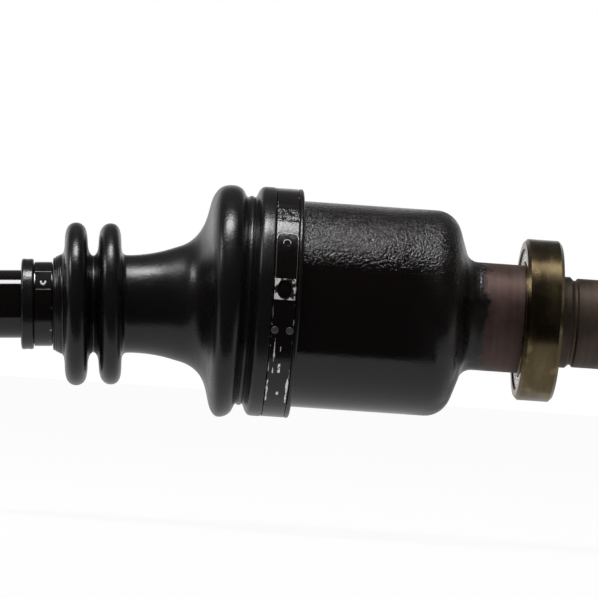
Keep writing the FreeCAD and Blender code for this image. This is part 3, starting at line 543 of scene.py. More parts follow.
def plain_steel(name, colour, roughness, scale=(900, 900, 900), metallic=1.0):
    """A steel or plastic with a fine grain of its own."""
    look = Finish(name)
    grain = look.noise(look.scaled(scale), 1.0, 3, 0.55)
    cloud = look.noise(look.place, 140, 3, 0.55)
    normal = look.bump(grain, 0.12, 0.00005)
    look.set(Base_Color=look.mix(look.ramp(cloud, 0.35, 0.7), tint(colour, 0.75), colour),
             Roughness=look.ramp(grain, 0.3, 0.7, roughness * 0.85, roughness * 1.2),
             Metallic=metallic, Normal=normal)
    return look.material


# The boot's skin, from the lip on the tulip to the cuff on the bar: (along, radius) in
# millimetres from the joint's centre; a new run starts at each hard corner
BOOT_RUNS = (
    ((-0.7, 39.85), (-0.7, 43.2)),
    ((-0.7, 43.2), (-1.0, 43.75), (-1.7, 43.9), (-2.4, 43.75), (-2.7, 43.2)),
    ((-2.7, 43.2), (-2.7, 43.0)),
    ((-2.7, 43.0), (-6.9, 43.0), (-11.1, 43.0)),
    ((-11.1, 43.0), (-11.15, 43.5)),
    ((-11.15, 43.5), (-11.6, 43.9), (-13.6, 43.95), (-15.4, 43.9), (-16.5, 43.45), (-17.3, 42.4),
     (-17.9, 41.1), (-18.4, 39.95), (-18.85, 39.6), (-19.3, 39.9), (-20.1, 40.2), (-20.9, 39.9),
     (-21.3, 39.6), (-21.8, 39.9), (-22.5, 41.2), (-23.4, 42.7), (-24.8, 43.75),
     (-26.3, 44.25), (-28.0, 44.4), (-29.7, 44.1), (-31.2, 43.1), (-32.4, 41.4), (-33.3, 39.3),
     (-33.9, 37.0), (-34.5, 34.5), (-35.2, 32.0), (-36.2, 29.6), (-37.8, 27.0), (-40.2, 24.6),
     (-43.2, 22.8), (-47.5, 21.4), (-52.0, 20.15), (-56.6, 19.3), (-61.2, 18.8), (-64.8, 18.7),
     (-66.3, 19.0), (-67.1, 20.2), (-67.4, 22.4), (-67.5, 25.6), (-68.0, 28.3), (-69.3, 30.2),
     (-71.4, 30.85), (-73.5, 30.3), (-75.1, 28.6), (-75.9, 25.8), (-76.2, 22.0), (-76.8, 19.6),
     (-78.1, 18.5), (-79.4, 19.5), (-80.1, 21.8), (-80.4, 25.8), (-81.1, 28.8), (-82.5, 30.5),
     (-84.6, 31.15), (-86.7, 30.6), (-88.2, 28.9), (-88.9, 26.0), (-89.1, 22.4), (-89.5, 19.9),
     (-90.3, 19.0), (-91.3, 18.6), (-92.5, 17.9), (-93.5, 17.2)),
    ((-93.5, 17.2), (-93.7, 15.2)),
    ((-93.7, 15.2), (-97.2, 15.2), (-100.7, 15.2)),
    ((-100.7, 15.2), (-100.8, 16.7)),
    ((-100.8, 16.7), (-101.0, 17.1), (-101.5, 17.3), (-103.2, 17.2), (-104.7, 17.35),
     (-105.2, 17.15), (-105.45, 16.7), (-105.6, 15.9), (-105.7, 15.2)),
    ((-105.7, 15.2), (-105.7, 13.35)),
)
# Where the skin changes the body that it follows, and what each length does
BOOT_LENGTHS = (
    ("boot_collar", 0.0, -30.6, ("tulip",)),
    ("boot_flank", -30.6, -34.6, ("tulip", "plunging_cup")),
    ("boot_shoulder", -34.6, -39.6, ("plunging_cup", "boot")),
    ("boot_waist", -39.6, -54.0, ("boot", "bar")),
    ("boot_neck", -54.0, -106.0, ("bar",)),
)
# Bores of the collar and the cuff, and how far each reaches along
COLLAR_BORE, COLLAR_END = 39.85, -17.4
CUFF_BORE, CUFF_START = 13.35, -92.6
LIP = -0.7
# The cone's fine ribs: where the first one is, how far the last one is from it, and their radii
RIB_PLACE, RIB_SPAN, RIB_RADII = -90.6, 2.5, (18.85, 17.55)
# The bore's radius of the bearing's shields
SHIELD_BORE = 22.3
# Each clamp's seat on the boot, the band's two edges, and its coating's middle and half width, in
# millimetres, the places along from the joint's centre
LARGE_SEAT, LARGE_EDGES, LARGE_COAT = 43.3, (-11.05, -2.75), (-6.9, 4.2)
SMALL_SEAT, SMALL_EDGES, SMALL_COAT = 15.5, (-100.6, -93.8), (-97.2, 3.5)
# The cells that a band is made of, in millimetres along it and round it, and the fewest of them
CELL_ALONG, CELL_ROUND, FEWEST_CELLS = 0.3, 0.4, 12
# The step along a bead's path, and the angle in radians past which a sheet's edge is rounded
BEAD_STEP = 0.2
SHEET_RIM = 0.9


def boot_skin(sizes):
    """The boot's outer line and its inner line, point for point, in metres."""
    outer = []
    for run in BOOT_RUNS:
        line = catmull([(a * MM, r * MM) for a, r in run], sizes.ring_step)
        outer += line if not outer else line[1:]
    inner = []
    count = len(outer)
    near = 3  # points each way that give the skin's direction
    for i, point in enumerate(outer):
        ahead = outer[min(count - 1, i + near)] - outer[max(0, i - near)]
        normal = Vector((-ahead.y, ahead.x)).normalized()
        inward = point + normal * sizes.wall
        if inward.y > point.y:
            inward = point - normal * sizes.wall
        if point.x > COLLAR_END * MM:
            inward = Vector((min(point.x, LIP * MM), COLLAR_BORE * MM))
        elif point.x < CUFF_START * MM:
            inward = Vector((point.x, CUFF_BORE * MM))
        inward.y = max(inward.y, CUFF_BORE * MM)
        inner.append(inward)
    return outer, inner


class DRIVESHAFT_OT_boot(bpy.types.Operator):
    """Lofts the rubber boot along the bent centre line and splits it where bodies change."""
    bl_idname = "driveshaft.boot"
    bl_label = "Boot"

    def execute(self, context):
        sizes = context.scene.driveshaft_boot
        rubber = rubber_finish(colours())
        outer, inner = boot_skin(sizes)
        count = sizes.segments
        slack = 1e-9
        pieces = []
        for name, start, stop, bodies in BOOT_LENGTHS:
            chosen = [i for i, p in enumerate(outer)
                      if stop * MM - slack <= p.x <= start * MM + slack]
            first, last = chosen[0], chosen[-1]
            if name != "boot_neck":
                last += 1
            rows = [outer[i] for i in range(first, last + 1)]
            back = [inner[i] for i in range(last, first - 1, -1)]
            vertices = []
            for k in range(count):
                angle = 2 * math.pi * k / count
                for row in rows + back:
                    spin = Matrix.Rotation(rest_turn(row.x, sizes), 3, "Y")
                    place = Vector((row.x, row.y * math.sin(angle), row.y * math.cos(angle)))
                    vertices.append(JOINT_CENTRE + spin @ place)
            piece = mesh_object(name, vertices, quads(count, len(rows) + len(back), True), 50)
            piece.data.materials.append(rubber)
            pieces.append((piece, start, stop, bodies))
        for piece, start, stop, bodies in pieces:
            if len(bodies) == 1:
                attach(piece, bodies[0])
                continue
            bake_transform(piece)
        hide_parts("boot")
        return {"FINISHED"}


def rib_tree():
    """Geometry nodes for fine ribs round a cone."""
    tree = bpy.data.node_groups.new("CuffRibs", "GeometryNodeTree")
    for name, kind in (("Count", "Int"), ("Start radius", "Float"), ("End radius", "Float"),
                       ("Length", "Float"), ("Rib radius", "Float"), ("Finish", "Material")):
        tree.interface.new_socket(name=name, in_out="INPUT", socket_type=f"NodeSocket{kind}")
    tree.interface.new_socket(name="Geometry", in_out="OUTPUT", socket_type="NodeSocketGeometry")

    def add(kind, *first, **inputs):
        """A node with inputs in order or by name, each linked from an output or set."""
        node = tree.nodes.new(kind)
        for name, value in [*enumerate(first), *inputs.items()]:
            socket = node.inputs[name.replace("_", " ") if isinstance(name, str) else name]
            if isinstance(value, bpy.types.NodeSocket):
                tree.links.new(value, socket)
            else:
                socket.default_value = value
        return node

    given = add("NodeGroupInput").outputs
    stop = add("ShaderNodeVectorMath", (-1, 0, 0), given["Length"])
    stop.operation = "MULTIPLY"
    line = add("GeometryNodeMeshLine", Count=given["Count"], Offset=stop.outputs["Vector"])
    line.mode = "END_POINTS"
    last = add("ShaderNodeMath", given["Count"], 1.0)
    last.operation = "SUBTRACT"
    size = add("ShaderNodeMapRange", add("GeometryNodeInputIndex").outputs[0],
               From_Max=last.outputs[0], To_Min=given["Start radius"], To_Max=given["End radius"])
    ring = add("GeometryNodeCurvePrimitiveCircle", Resolution=96, Radius=1.0)
    spread = add("GeometryNodeInstanceOnPoints", Points=line.outputs["Mesh"],
                 Instance=ring.outputs["Curve"], Rotation=(0, 90 * DEG, 0),
                 Scale=size.outputs["Result"])
    rings = add("GeometryNodeRealizeInstances", spread.outputs["Instances"])
    bead = add("GeometryNodeCurvePrimitiveCircle", Resolution=8, Radius=given["Rib radius"])
    sweep = add("GeometryNodeCurveToMesh", rings.outputs[0], Profile_Curve=bead.outputs["Curve"])
    shade = add("GeometryNodeSetShadeSmooth", sweep.outputs["Mesh"])
    solid = add("GeometryNodeRealizeInstances", shade.outputs[0])
    add("NodeGroupOutput", add("GeometryNodeSetMaterial", solid.outputs[0],
                               Material=given["Finish"]).outputs[0])
    return tree


class DRIVESHAFT_OT_cuff_ribs(bpy.types.Operator):
    """Lays the fine ribs on the boot's cone beside the small clamp."""
    bl_idname = "driveshaft.cuff_ribs"
    bl_label = "Cuff ribs"

    def execute(self, context):
        sizes = context.scene.driveshaft_boot
        rubber = bpy.data.materials["boot_rubber_skin"]
        tree = rib_tree()
        holder = put_in_scene("cuff_rib_maker", bpy.data.meshes.new("cuff_rib_maker"))
        modifier = holder.modifiers.new("Ribs", "NODES")
        modifier.node_group = tree
        values = {"Count": sizes.rib_count, "Start radius": RIB_RADII[0] * MM,
                  "End radius": RIB_RADII[1] * MM, "Length": RIB_SPAN * MM,
                  "Rib radius": sizes.rib_height, "Finish": rubber}
        for item in tree.interface.items_tree:
            if item.item_type == "SOCKET" and item.in_out == "INPUT":
                modifier[item.identifier] = values[item.name]
        context.view_layer.update()
        shown = holder.evaluated_get(context.evaluated_depsgraph_get())
        mesh = bpy.data.meshes.new_from_object(shown)
        if not mesh.vertices:
            raise RuntimeError("the cuff ribs came out empty")
        mesh.transform(BAR_FRAME @ Matrix.Translation((RIB_PLACE * MM, 0, 0)))
        bpy.data.objects.remove(holder)
        finish_with(put_in_scene("cuff_ribs", mesh), rubber, "bar")
        return {"FINISHED"}


def sheet_patch(name, matrix, cells, inner, outer, round_edge, places, rows, wrap):
    """A curved sheet between two radii from the kept cells of a grid; places gives each
    corner's place along the axis and turn round it."""
    work = bmesh.new()
    corners = {}

    def corner(i, j, radius, layer):
        """The point at a corner of the grid, made once."""
        key = (i, j % wrap, layer)
        if key not in corners:
            along, turn = places[key[:2]]
            corners[key] = work.verts.new(matrix @ Vector((along, -radius * math.cos(turn),
                                                            radius * math.sin(turn))))
        return corners[key]

    kept = set(cells)
    for i, j in kept:
        top = [corner(i, j, outer, 1), corner(i + 1, j, outer, 1),
               corner(i + 1, j + 1, outer, 1), corner(i, j + 1, outer, 1)]
        low = [corner(i, j, inner, 0), corner(i + 1, j, inner, 0),
               corner(i + 1, j + 1, inner, 0), corner(i, j + 1, inner, 0)]
        work.faces.new(top)
        work.faces.new(low[::-1])
        for (m, n), (a, b) in (((i, j - 1), (0, 1)), ((i + 1, j), (1, 2)),
                               ((i, j + 1), (2, 3)), ((i - 1, j), (3, 0))):
            if (m, n % rows) not in kept or (rows != wrap and not 0 <= n < rows):
                work.faces.new([top[a], low[a], low[b], top[b]])
    bmesh.ops.recalc_face_normals(work, faces=work.faces)
    rim = [edge for edge in work.edges
           if len(edge.link_faces) == 2 and edge.calc_face_angle(0) > SHEET_RIM]
    bmesh.ops.bevel(work, geom=rim, offset=round_edge, segments=2, affect="EDGES", profile=0.6,
                    clamp_overlap=True)
    for face in work.faces:
        face.smooth = True
    mesh = bpy.data.meshes.new(name)
    work.to_mesh(mesh)
    work.free()
    return put_in_scene(name, mesh)


def band_piece(name, matrix, inner, thickness, low, high, holes=(), round_edge=0.1 * MM, arc=None,
               end_round=0.0):
    """A band, whole or an arc, with holes (place along, turn, half along, half turn, power) and,
    where asked, a rounded end at the arc's high turn."""
    start, stop = arc or (-math.pi, math.pi)
    middle, half = (low + high) / 2, (high - low) / 2
    columns = max(FEWEST_CELLS, round((high - low) / CELL_ALONG / MM))
    rows = max(FEWEST_CELLS, round((stop - start) * inner / CELL_ROUND / MM))
    wrap = rows if arc is None else rows + 1
    places = {}
    for i in range(columns + 1):
        for j in range(wrap):
            turn = start + (stop - start) * j / rows
            left = (stop - turn) * inner
            width = half
            if left < end_round:
                drop = end_round ** 2 - (end_round - left) ** 2
                width = half - end_round + math.sqrt(max(0.0, drop))
            places[i, j] = (middle + (2 * i / columns - 1) * width, turn)

    def depth(along, turn, hole):
        """How far out of a hole's middle a place is: 1 at its edge."""
        centre, place, half_along, half_turn, power = hole
        return (abs((along - centre) / half_along) ** power
                + abs((turn - place) / half_turn) ** power) ** (1 / power)

    cells = []
    opened = {}
    for i in range(columns):
        for j in range(rows):
            around = [(i, j), (i + 1, j), (i + 1, (j + 1) % wrap), (i, (j + 1) % wrap)]
            along = sum(places[key][0] for key in around) / 4
            turn = start + (stop - start) * (j + 0.5) / rows
            cut = [hole for hole in holes if depth(along, turn, hole) < 1]
            if cut:
                opened.update({key: cut[0] for key in around})
            else:
                cells.append((i, j))
    rimmed = {key for i, j in cells for key in
              ((i, j), (i + 1, j), (i + 1, (j + 1) % wrap), (i, (j + 1) % wrap))} & set(opened)
    for key in rimmed:
        hole = opened[key]
        along, turn = places[key]
        reach = depth(along, turn, hole)
        places[key] = (hole[0] + (along - hole[0]) / reach, hole[1] + (turn - hole[1]) / reach)
    return sheet_patch(name, matrix, cells, inner, inner + thickness, round_edge, places, rows, wrap)


def wire_bead(name, matrix, radius, path, thickness, around=12):
    """A round bead along a path of (place along, turn) on a band."""
    line = catmull([(along, turn * radius, 0) for along, turn in path], BEAD_STEP * MM)
    vertices = []
    for index, point in enumerate(line):
        ahead = (line[min(len(line) - 1, index + 1)] - line[max(0, index - 1)]).normalized()
        side = Vector((-ahead.y, ahead.x, 0))
        size = thickness if 0 < index < len(line) - 1 else thickness * 0.5
        for k in range(around):
            angle = 2 * math.pi * k / around
            spot = point + side * size * math.cos(angle)
            reach = radius + size * math.sin(angle)
            turn = spot.y / radius
            vertices.append(matrix @ Vector((spot.x, -reach * math.cos(turn), reach * math.sin(turn))))
    ends = [tuple(range(around)), tuple(range(len(vertices) - around, len(vertices)))]
    return mesh_object(name, vertices, quads(len(line), around) + ends, 60)


class DRIVESHAFT_OT_clamps(bpy.types.Operator):
    """Makes the two band clamps with their laps, tongues and pressed bumps."""
    bl_idname = "driveshaft.clamps"
    bl_label = "Clamps"

    def execute(self, context):
        sizes = context.scene.driveshaft_clamps
        hue = colours()

        def coat(piece, material, body, *replaces):
            """Gives a clamp's piece its finish, its body and the nodes that it stands for."""
            finish_with(piece, material, body, replaces)

        thick = sizes.band_thickness
        # bright bare steel, for rubbed edges and, on the rims and tongue, a painted highlight
        wear_and_highlight = plain_steel("worn_edge_and_highlight_steel", BARE_SHEET_AND_HIGHLIGHT, 0.40, metallic=0.35)
        # the pressed bumps get a lighter grey than the coating: a painted sheen
        rub_and_highlight = plain_steel("bump_painted_sheen_steel", (0.060, 0.060, 0.066), 0.30, metallic=0.2)
        dull = plain_steel("dull_rim_steel", (0.16, 0.16, 0.15), 0.35, metallic=0.4)
        coat_place, coat_half = LARGE_COAT
        large = clamp_finish(hue, "large_clamp_coating", JOINT_CENTRE.x + coat_place * MM,
                             coat_half * MM, LARGE_WEAR)
        seat = LARGE_SEAT * MM
        low, high = (edge * MM for edge in LARGE_EDGES)
        middle = (low + high) / 2
        under = band_piece("large_clamp_band", TULIP_FRAME, seat, thick * 0.9, low, high,
                           round_edge=sizes.edge_round * 0.6)
        coat(under, large, "tulip", "large_clamp")
        round_hole = (middle - 0.2 * MM, 30.6 * DEG, 1.35 * MM, 1.35 * MM / seat, 2)
        square = (middle - 0.35 * MM, 6.5 * DEG, 2.75 * MM, 3.3 * MM / seat, 2.2)
        lap = band_piece("large_clamp_lap", TULIP_FRAME, seat + thick * 0.9, thick * 0.85,
                         low + 0.1 * MM, high - 0.1 * MM, (round_hole, square), sizes.edge_round,
                         (-64 * DEG, 36.4 * DEG), 2.3 * MM)
        coat(lap, large, "tulip")
        plate = band_piece("large_clamp_hook", TULIP_FRAME, seat + thick * 1.6, thick * 0.7,
                           middle - 4.0 * MM, middle + 3.8 * MM, (square,), sizes.edge_round,
                           (1.4 * DEG, 11.6 * DEG))
        plate_place = TULIP_FRAME @ Vector((middle - 0.1 * MM, 0, seat * math.sin(6.5 * DEG)))
        coat(plate, hook_finish(hue, plate_place), "tulip")
        for number, place in enumerate((-2.85, 2.75), 1):
            bump = dome_boss(f"large_clamp_bump_{number}", TULIP_FRAME, seat + 1.6 * thick,
                             -13.6 * DEG, middle + place * MM, sizes.bump_radius, 0.8 * MM)
            coat(bump, rub_and_highlight, "tulip")
        # bright rims: the strap's end and its round hole, bright along their top arcs as a painted
        # highlight on rubbed edges; the strap's sides get a darker grey as painted shade
        top, side, deep = 36.1 * DEG, 3.95 * MM, 2.6 * DEG
        strap = [(middle - side, top - deep * 1.3), (middle - side, top - deep),
                 (middle - side * 0.86, top - deep * 0.35), (middle - side * 0.5, top),
                 (middle + side * 0.5, top), (middle + side * 0.86, top - deep * 0.35),
                 (middle + side, top - deep), (middle + side, top - deep * 1.3)]
        rim = wire_bead("large_clamp_strap_rim", TULIP_FRAME, seat + 1.62 * thick, strap, 0.15 * MM)
        coat(rim, wear_and_highlight, "tulip")
        for number, place in enumerate((middle - side, middle + side), 1):
            rim = wire_bead(f"large_clamp_strap_side_{number}", TULIP_FRAME, seat + 1.62 * thick,
                            [(place, 12 * DEG), (place, top - deep * 1.3)], 0.10 * MM)
            coat(rim, dull, "tulip")
        ring = [(round_hole[0] + round_hole[2] * math.cos(angle * DEG),
                 round_hole[1] + round_hole[3] * math.sin(angle * DEG)) for angle in range(-20, 201, 20)]
        rim = wire_bead("large_clamp_hole_rim", TULIP_FRAME, seat + 1.65 * thick, ring, 0.15 * MM)
        coat(rim, wear_and_highlight, "tulip")

        coat_place, coat_half = SMALL_COAT
        small = clamp_finish(hue, "small_clamp_coating", along_bend(coat_place * MM, REST_BEND).x,
                             coat_half * MM, ())
        seat = SMALL_SEAT * MM
        low, high = (edge * MM for edge in SMALL_EDGES)
        middle = (low + high) / 2
        band = band_piece("small_clamp_band", BAR_FRAME, seat, thick * 0.6, low, high,
                          round_edge=sizes.edge_round * 0.5)
        coat(band, small, "bar", "small_clamp")
        for number, arc in enumerate(((-118, 19.5), (49, 118)), 1):
            lap = band_piece(f"small_clamp_lap_{number}", BAR_FRAME, seat + thick * 0.6, thick * 0.5,
                             low + 0.15 * MM, high - 0.15 * MM, round_edge=sizes.edge_round * 0.7,
                             arc=tuple(map(math.radians, arc)))
            coat(lap, small, "bar")
        rise = seat + thick * 0.8
        # the tongue is coloured bright: a painted highlight on the clamp's ear
        tongue = wire_bead("small_clamp_tongue", BAR_FRAME, rise,
                           [(middle - 0.95 * MM, 33 * DEG), (middle - 0.6 * MM, 29 * DEG),
                            (middle, 27.5 * DEG), (middle + 0.6 * MM, 29 * DEG),
                            (middle + 0.95 * MM, 33 * DEG)], 0.42 * MM)
        coat(tongue, wear_and_highlight, "bar")
        # a dark matte sheet with little gloss in the small clamp's window: painted shade for the hole's
        # shadowed depth
        painted_shade = plain_steel("recess_painted_shade", (0.003, 0.0028, 0.0026), 0.6, metallic=0.0)
        painted_shade.node_tree.nodes["Principled BSDF"].inputs["Specular IOR Level"].default_value = 0.08
        recess = band_piece("small_clamp_recess", BAR_FRAME, seat + thick * 0.55, 0.15 * MM,
                            low + 0.3 * MM, high - 0.3 * MM, round_edge=0.03 * MM,
                            arc=(20 * DEG, 48.5 * DEG))
        coat(recess, painted_shade, "bar")
        edge = wire_bead("small_clamp_edge", BAR_FRAME, seat + thick,
                         [(low + 0.5 * MM, 20 * DEG), (middle, 20 * DEG),
                          (high - 0.4 * MM, 20 * DEG)], 0.18 * MM)
        coat(edge, dull, "bar")
        return {"FINISHED"}


def dome_boss(name, matrix, radius, turn, along, size, height, rings=8, around=32):
    """A low round boss standing on a band."""
    vertices = []
    sunk = 0.2 * MM
    out = Vector((0, -math.cos(turn), math.sin(turn)))
    side = Vector((0, math.sin(turn), math.cos(turn)))
    foot = Vector((along, 0, 0)) + out * (radius - sunk)
    for i in range(rings + 1):
        share = i / rings
        reach = size * math.cos(share * math.pi / 2) ** 0.7 if i < rings else 0.0
        rise = sunk + height * math.sin(share * math.pi / 2)
        for k in range(around if i < rings else 1):
            angle = 2 * math.pi * k / around
            vertices.append(matrix @ (foot + out * rise + Vector((1, 0, 0)) * reach * math.cos(angle)
                                      + side * reach * math.sin(angle)))
    top, last = rings * around, (rings - 1) * around
    faces = quads(rings, around) + [(last + k, last + (k + 1) % around, top) for k in range(around)]
    return mesh_object(name, vertices, faces + [tuple(range(around))], 50)


class DRIVESHAFT_OT_bearing(bpy.types.Operator):
    """Presses the bearing's shields with their rings and finishes the bearing's steel."""
    bl_idname = "driveshaft.bearing"
    bl_label = "Bearing"

    def execute(self, context):
        hue = colours()
        shield = plain_steel("bright_shield_steel", hue["shield"], 0.22, (900, 300, 300))
        for name, sign in (("left", -1), ("right", 1)):
            node = f"bearing_shield_{name}"
            low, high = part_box(node)
            outer = high[2]
            face = (low[0] if sign < 0 else high[0])
            back = (high[0] if sign < 0 else low[0])
            inner = SHIELD_BORE * MM
            front = []
            for share, depth in ((0.0, 0.25), (0.04, 0.0), (0.20, 0.0), (0.25, 0.22), (0.33, 0.28),
                                 (0.38, 0.05), (0.44, 0.0), (0.62, 0.0), (0.66, 0.20), (0.72, 0.24),
                                 (0.77, 0.05), (0.84, 0.0), (0.93, 0.03), (1.0, 0.18)):
                front.append((face - sign * depth * MM, inner + (outer - inner) * share))
            profile = [tuple(p) for p in catmull(front, 0.12 * MM)]
            profile += [(back, outer), (back, inner)]
            piece = turned(f"bearing_shield_pressed_{name}", profile, 128, 30)
            finish_with(piece, shield, "bearing_outer", (node,))
        steel = bearing_finish(hue)
        for node in ("bearing_outer_ring", "bearing_inner_ring"):
            repaint(node, steel)
        repaint("bearing_balls", plain_steel("polished_ball_steel", (0.72, 0.72, 0.72), 0.12))
        repaint("bearing_cage", plain_steel("pressed_cage_steel", (0.42, 0.40, 0.36), 0.35))
        return {"FINISHED"}


def repaint(node, material):
    """Gives a carried-over node its own finish."""
    item = frame["nodes"][node]
    if not item.material_slots:
        item.data.materials.append(material)
    for place in item.material_slots:
        place.material = material


class DRIVESHAFT_OT_spring(bpy.types.Operator):
    """Winds the thrust spring at one length; the real spring shortens as the joint plunges."""
    bl_idname = "driveshaft.spring"
    bl_label = "Thrust spring"

    def execute(self, context):
        sizes = context.scene.driveshaft_spring
        low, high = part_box("thrust_spring")
        start, stop = low[0] + sizes.wire, high[0] - sizes.wire
        steps_in_a_coil, around = 40, 10
        steps = round(sizes.coils * steps_in_a_coil)
        vertices = []
        for i in range(steps + 1):
            turn = 2 * math.pi * sizes.coils * i / steps
            out = Vector((0, math.cos(turn), math.sin(turn)))
            for k in range(around):
                angle = 2 * math.pi * k / around
                reach = sizes.radius + sizes.wire * math.cos(angle)
                along = start + (stop - start) * i / steps + sizes.wire * math.sin(angle)
                vertices.append(Vector((along, 0, 0)) + out * reach)
        ends = [tuple(range(around)), tuple(range(steps * around, (steps + 1) * around))]
        spring = mesh_object("thrust_spring_wire", vertices, quads(steps + 1, around) + ends, 60)
        finish_with(spring, plain_steel("spring_wire_steel", DRAWN_WIRE, 0.32), "tulip",
                    ("thrust_spring",))
        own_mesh(spring)
        return {"FINISHED"}


class DRIVESHAFT_OT_steel_parts(bpy.types.Operator):
    """Finishes the tulip, the bar and the pieces inside the joint."""
    bl_idname = "driveshaft.steel_parts"
    bl_label = "Steel parts"

    def execute(self, context):
        hue = colours()
        repaint("tulip_shaft", forging_finish(hue))
        repaint("bar_shaft", bar_finish(hue))
        wire = plain_steel("snap_ring_steel", DRAWN_WIRE, 0.32)
        ground = plain_steel("ground_roller_steel", (0.52, 0.50, 0.47), 0.22, (1400, 1400, 1400))
        spider = plain_steel("case_hardened_steel", (0.20, 0.18, 0.17), 0.4)
        nylon = plain_steel("moulded_cup_nylon", (0.62, 0.58, 0.48), 0.45, metallic=0.0)
        for node in ("gearbox_snap_ring", "bar_snap_ring", "hub_clip"):
            repaint(node, wire)
        repaint("tripod_spider", spider)
        repaint("thrust_cup", nylon)
        for number in (1, 2, 3):
            repaint(f"tripod_roller_{number}", ground)
            repaint(f"needle_set_{number}", ground)
            repaint(f"roller_washer_{number}", wire)
            repaint(f"roller_clip_{number}", wire)
        return {"FINISHED"}


def soft_lamp(name, place, aim, size, power):
    """A rectangular soft lamp pointing at a place."""
    data = bpy.data.lights.new(name, "AREA")
    data.shape = "RECTANGLE"
    data.size, data.size_y = size
    data.energy = power
    lamp = put_in_scene(name, data)
    lamp.location = place
    lamp.rotation_euler = (Vector(aim) - Vector(place)).to_track_quat("-Z", "Y").to_euler()


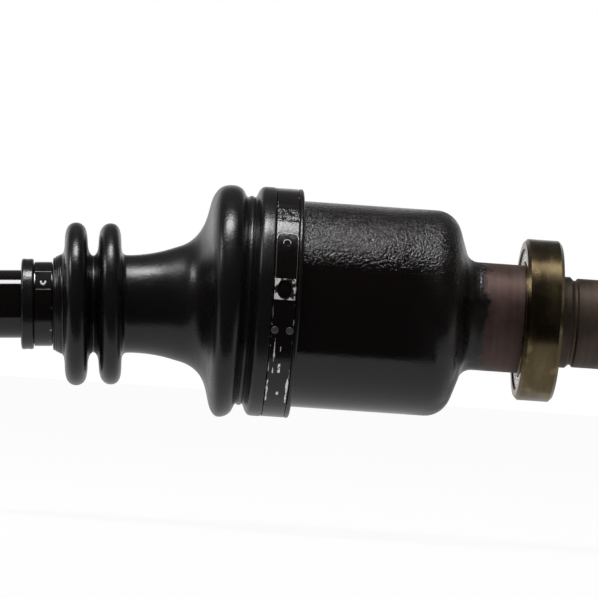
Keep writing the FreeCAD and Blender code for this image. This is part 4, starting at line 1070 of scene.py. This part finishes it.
class DRIVESHAFT_OT_stage(bpy.types.Operator):
    """Sets the camera, the white floor, the world and the soft lamps."""
    bl_idname = "driveshaft.stage"
    bl_label = "Stage"

    def execute(self, context):
        scene = context.scene
        sizes = scene.driveshaft_stage
        aim = Vector((sizes.aim_x, 0, sizes.aim_z))
        right = Vector((math.cos(-REST_BEND), 0, math.sin(-REST_BEND)))
        up = Vector((-math.sin(-REST_BEND), 0, math.cos(-REST_BEND)))
        ahead = Vector((0, 1, 0)) * math.cos(sizes.swing) + right * math.sin(sizes.swing)
        across = ahead.cross(up)
        data = bpy.data.cameras.new("photo_camera")
        data.sensor_width = film = 36
        data.lens = film * sizes.distance / sizes.view_width
        data.clip_end = 20
        camera = put_in_scene("photo_camera", data)
        turn = Matrix((across, up, -ahead)).transposed()
        camera.matrix_world = Matrix.Translation(aim - ahead * sizes.distance) @ turn.to_4x4()
        scene.camera = camera

        low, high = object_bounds()
        level = low[2] - sizes.floor_gap
        reach = 3.0
        floor = mesh_object("floor", [(-reach, -reach, level), (reach, -reach, level),
                                      (reach, reach, level), (-reach, reach, level)], [(0, 1, 2, 3)])
        white = Finish("white_floor")
        white.set(Base_Color=(0.80, 0.80, 0.80), Roughness=0.9)
        plain = white.nodes.new("ShaderNodeEmission")
        rays = white.nodes.new("ShaderNodeLightPath")
        glossy = rays.outputs["Is Glossy Ray"]
        # the sheet's near edge: gloss surfaces see white behind it and a dark room before it
        near = white.ramp(white.axis("X"), -0.018, 0.0, sizes.sheet_edge, sizes.sheet_edge * 1.9)
        depth = white.math("SUBTRACT", white.axis("Y"), near)
        sheet = white.ramp(depth, -0.002, 0.002, 0.03, 0.6)
        white.link(white.mix(glossy, (1, 1, 1), sheet), plain.inputs["Color"])
        share = white.math("MAXIMUM", white.times(rays.outputs["Is Camera Ray"], 0.95), glossy)
        share = white.math("MAXIMUM", share, rays.outputs["Is Transmission Ray"])
        blend = white.nodes.new("ShaderNodeMixShader")
        white.link(share, blend.inputs[0])
        white.link(white.shader.outputs[0], blend.inputs[1])
        white.link(plain.outputs[0], blend.inputs[2])
        white.link(blend.outputs[0], white.nodes["Material Output"].inputs["Surface"])
        floor.data.materials.append(white.material)
        floor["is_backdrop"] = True

        # the room: white to the camera, a white wall low down behind, dark before the object
        world = bpy.data.worlds.new("studio")
        scene.world = world
        world.use_nodes = True
        nodes, links = world.node_tree.nodes, world.node_tree.links

        def ramp(value, low, high, start, stop):
            """Maps low..high to start..stop in the world's own tree."""
            node = nodes.new("ShaderNodeMapRange")
            for name, number in (("From Min", low), ("From Max", high),
                                 ("To Min", start), ("To Max", stop)):
                node.inputs[name].default_value = number
            links.new(value, node.inputs["Value"])
            return node

        back = nodes["Background"]
        back.inputs["Color"].default_value = (1, 1, 1, 1)
        rays = nodes.new("ShaderNodeLightPath")
        way = nodes.new("ShaderNodeSeparateXYZ")
        links.new(nodes.new("ShaderNodeTexCoord").outputs["Generated"], way.inputs[0])
        low_wall = ramp(way.outputs["Z"], 0.2, 0.5, 0.9, 0.12)
        room = ramp(way.outputs["Y"], 0.12, 0.32, 0.03, 1.0)
        links.new(low_wall.outputs[0], room.inputs["To Max"])
        seen = ramp(rays.outputs["Is Glossy Ray"], 0, 1, sizes.fill, 1.0)
        links.new(room.outputs[0], seen.inputs["To Max"])
        strength = ramp(rays.outputs["Is Camera Ray"], 0, 1, 1.0, 1.0)
        links.new(seen.outputs[0], strength.inputs["To Min"])
        links.new(strength.outputs[0], back.inputs["Strength"])

        for name, place, aim, size, power in (
                ("top_softbox", (-0.275, -0.168, 1.0), (-0.275, 0, 0), (0.45, 0.28), sizes.key_power),
                ("long_softbox", (-0.5, -0.170, 1.02), (-0.5, 0, 0), (0.9, 0.28), sizes.long_power),
                ("right_softbox", (0.06, -0.150, 1.01), (0.06, 0, 0), (0.2, 0.30), sizes.right_power),
                ("left_softbox", (-1.08, -0.04, 0.56), (-0.1325, 0, 0.01), (0.24, 0.24),
                 sizes.left_power)):
            soft_lamp(name, place, aim, size, power)
        scene.view_settings.view_transform = "Standard"
        return {"FINISHED"}


class DRIVESHAFT_PT_panel(bpy.types.Panel):
    """Lists the pieces in the 3D view's sidebar."""
    bl_idname = "DRIVESHAFT_PT_panel"
    bl_label = "Driveshaft joint"
    bl_space_type = "VIEW_3D"
    bl_region_type = "UI"
    bl_category = "Driveshaft"

    def draw(self, context):
        for operator in OPERATORS:
            self.layout.operator(operator.bl_idname)


GROUPS = {"driveshaft_boot": BootSizes, "driveshaft_clamps": ClampSizes,
          "driveshaft_spring": SpringSizes, "driveshaft_colours": FinishColours,
          "driveshaft_stage": StageSizes}
OPERATORS = (DRIVESHAFT_OT_steel_parts, DRIVESHAFT_OT_bearing, DRIVESHAFT_OT_spring,
             DRIVESHAFT_OT_boot, DRIVESHAFT_OT_cuff_ribs, DRIVESHAFT_OT_clamps, DRIVESHAFT_OT_stage)


def register():
    for group in GROUPS.values():
        bpy.utils.register_class(group)
    for operator in OPERATORS:
        bpy.utils.register_class(operator)
    bpy.utils.register_class(DRIVESHAFT_PT_panel)
    for name, group in GROUPS.items():
        setattr(bpy.types.Scene, name, PointerProperty(type=group))


def unregister():
    for name in GROUPS:
        delattr(bpy.types.Scene, name)
    bpy.utils.unregister_class(DRIVESHAFT_PT_panel)
    for operator in reversed(OPERATORS):
        bpy.utils.unregister_class(operator)
    for group in reversed(tuple(GROUPS.values())):
        bpy.utils.unregister_class(group)


def main():
    """Makes every piece in order."""
    register()
    for step in (bpy.ops.driveshaft.steel_parts, bpy.ops.driveshaft.bearing,
                 bpy.ops.driveshaft.spring, bpy.ops.driveshaft.boot,
                 bpy.ops.driveshaft.cuff_ribs, bpy.ops.driveshaft.clamps, bpy.ops.driveshaft.stage):
        step()


if __name__ == "__main__":
    main()
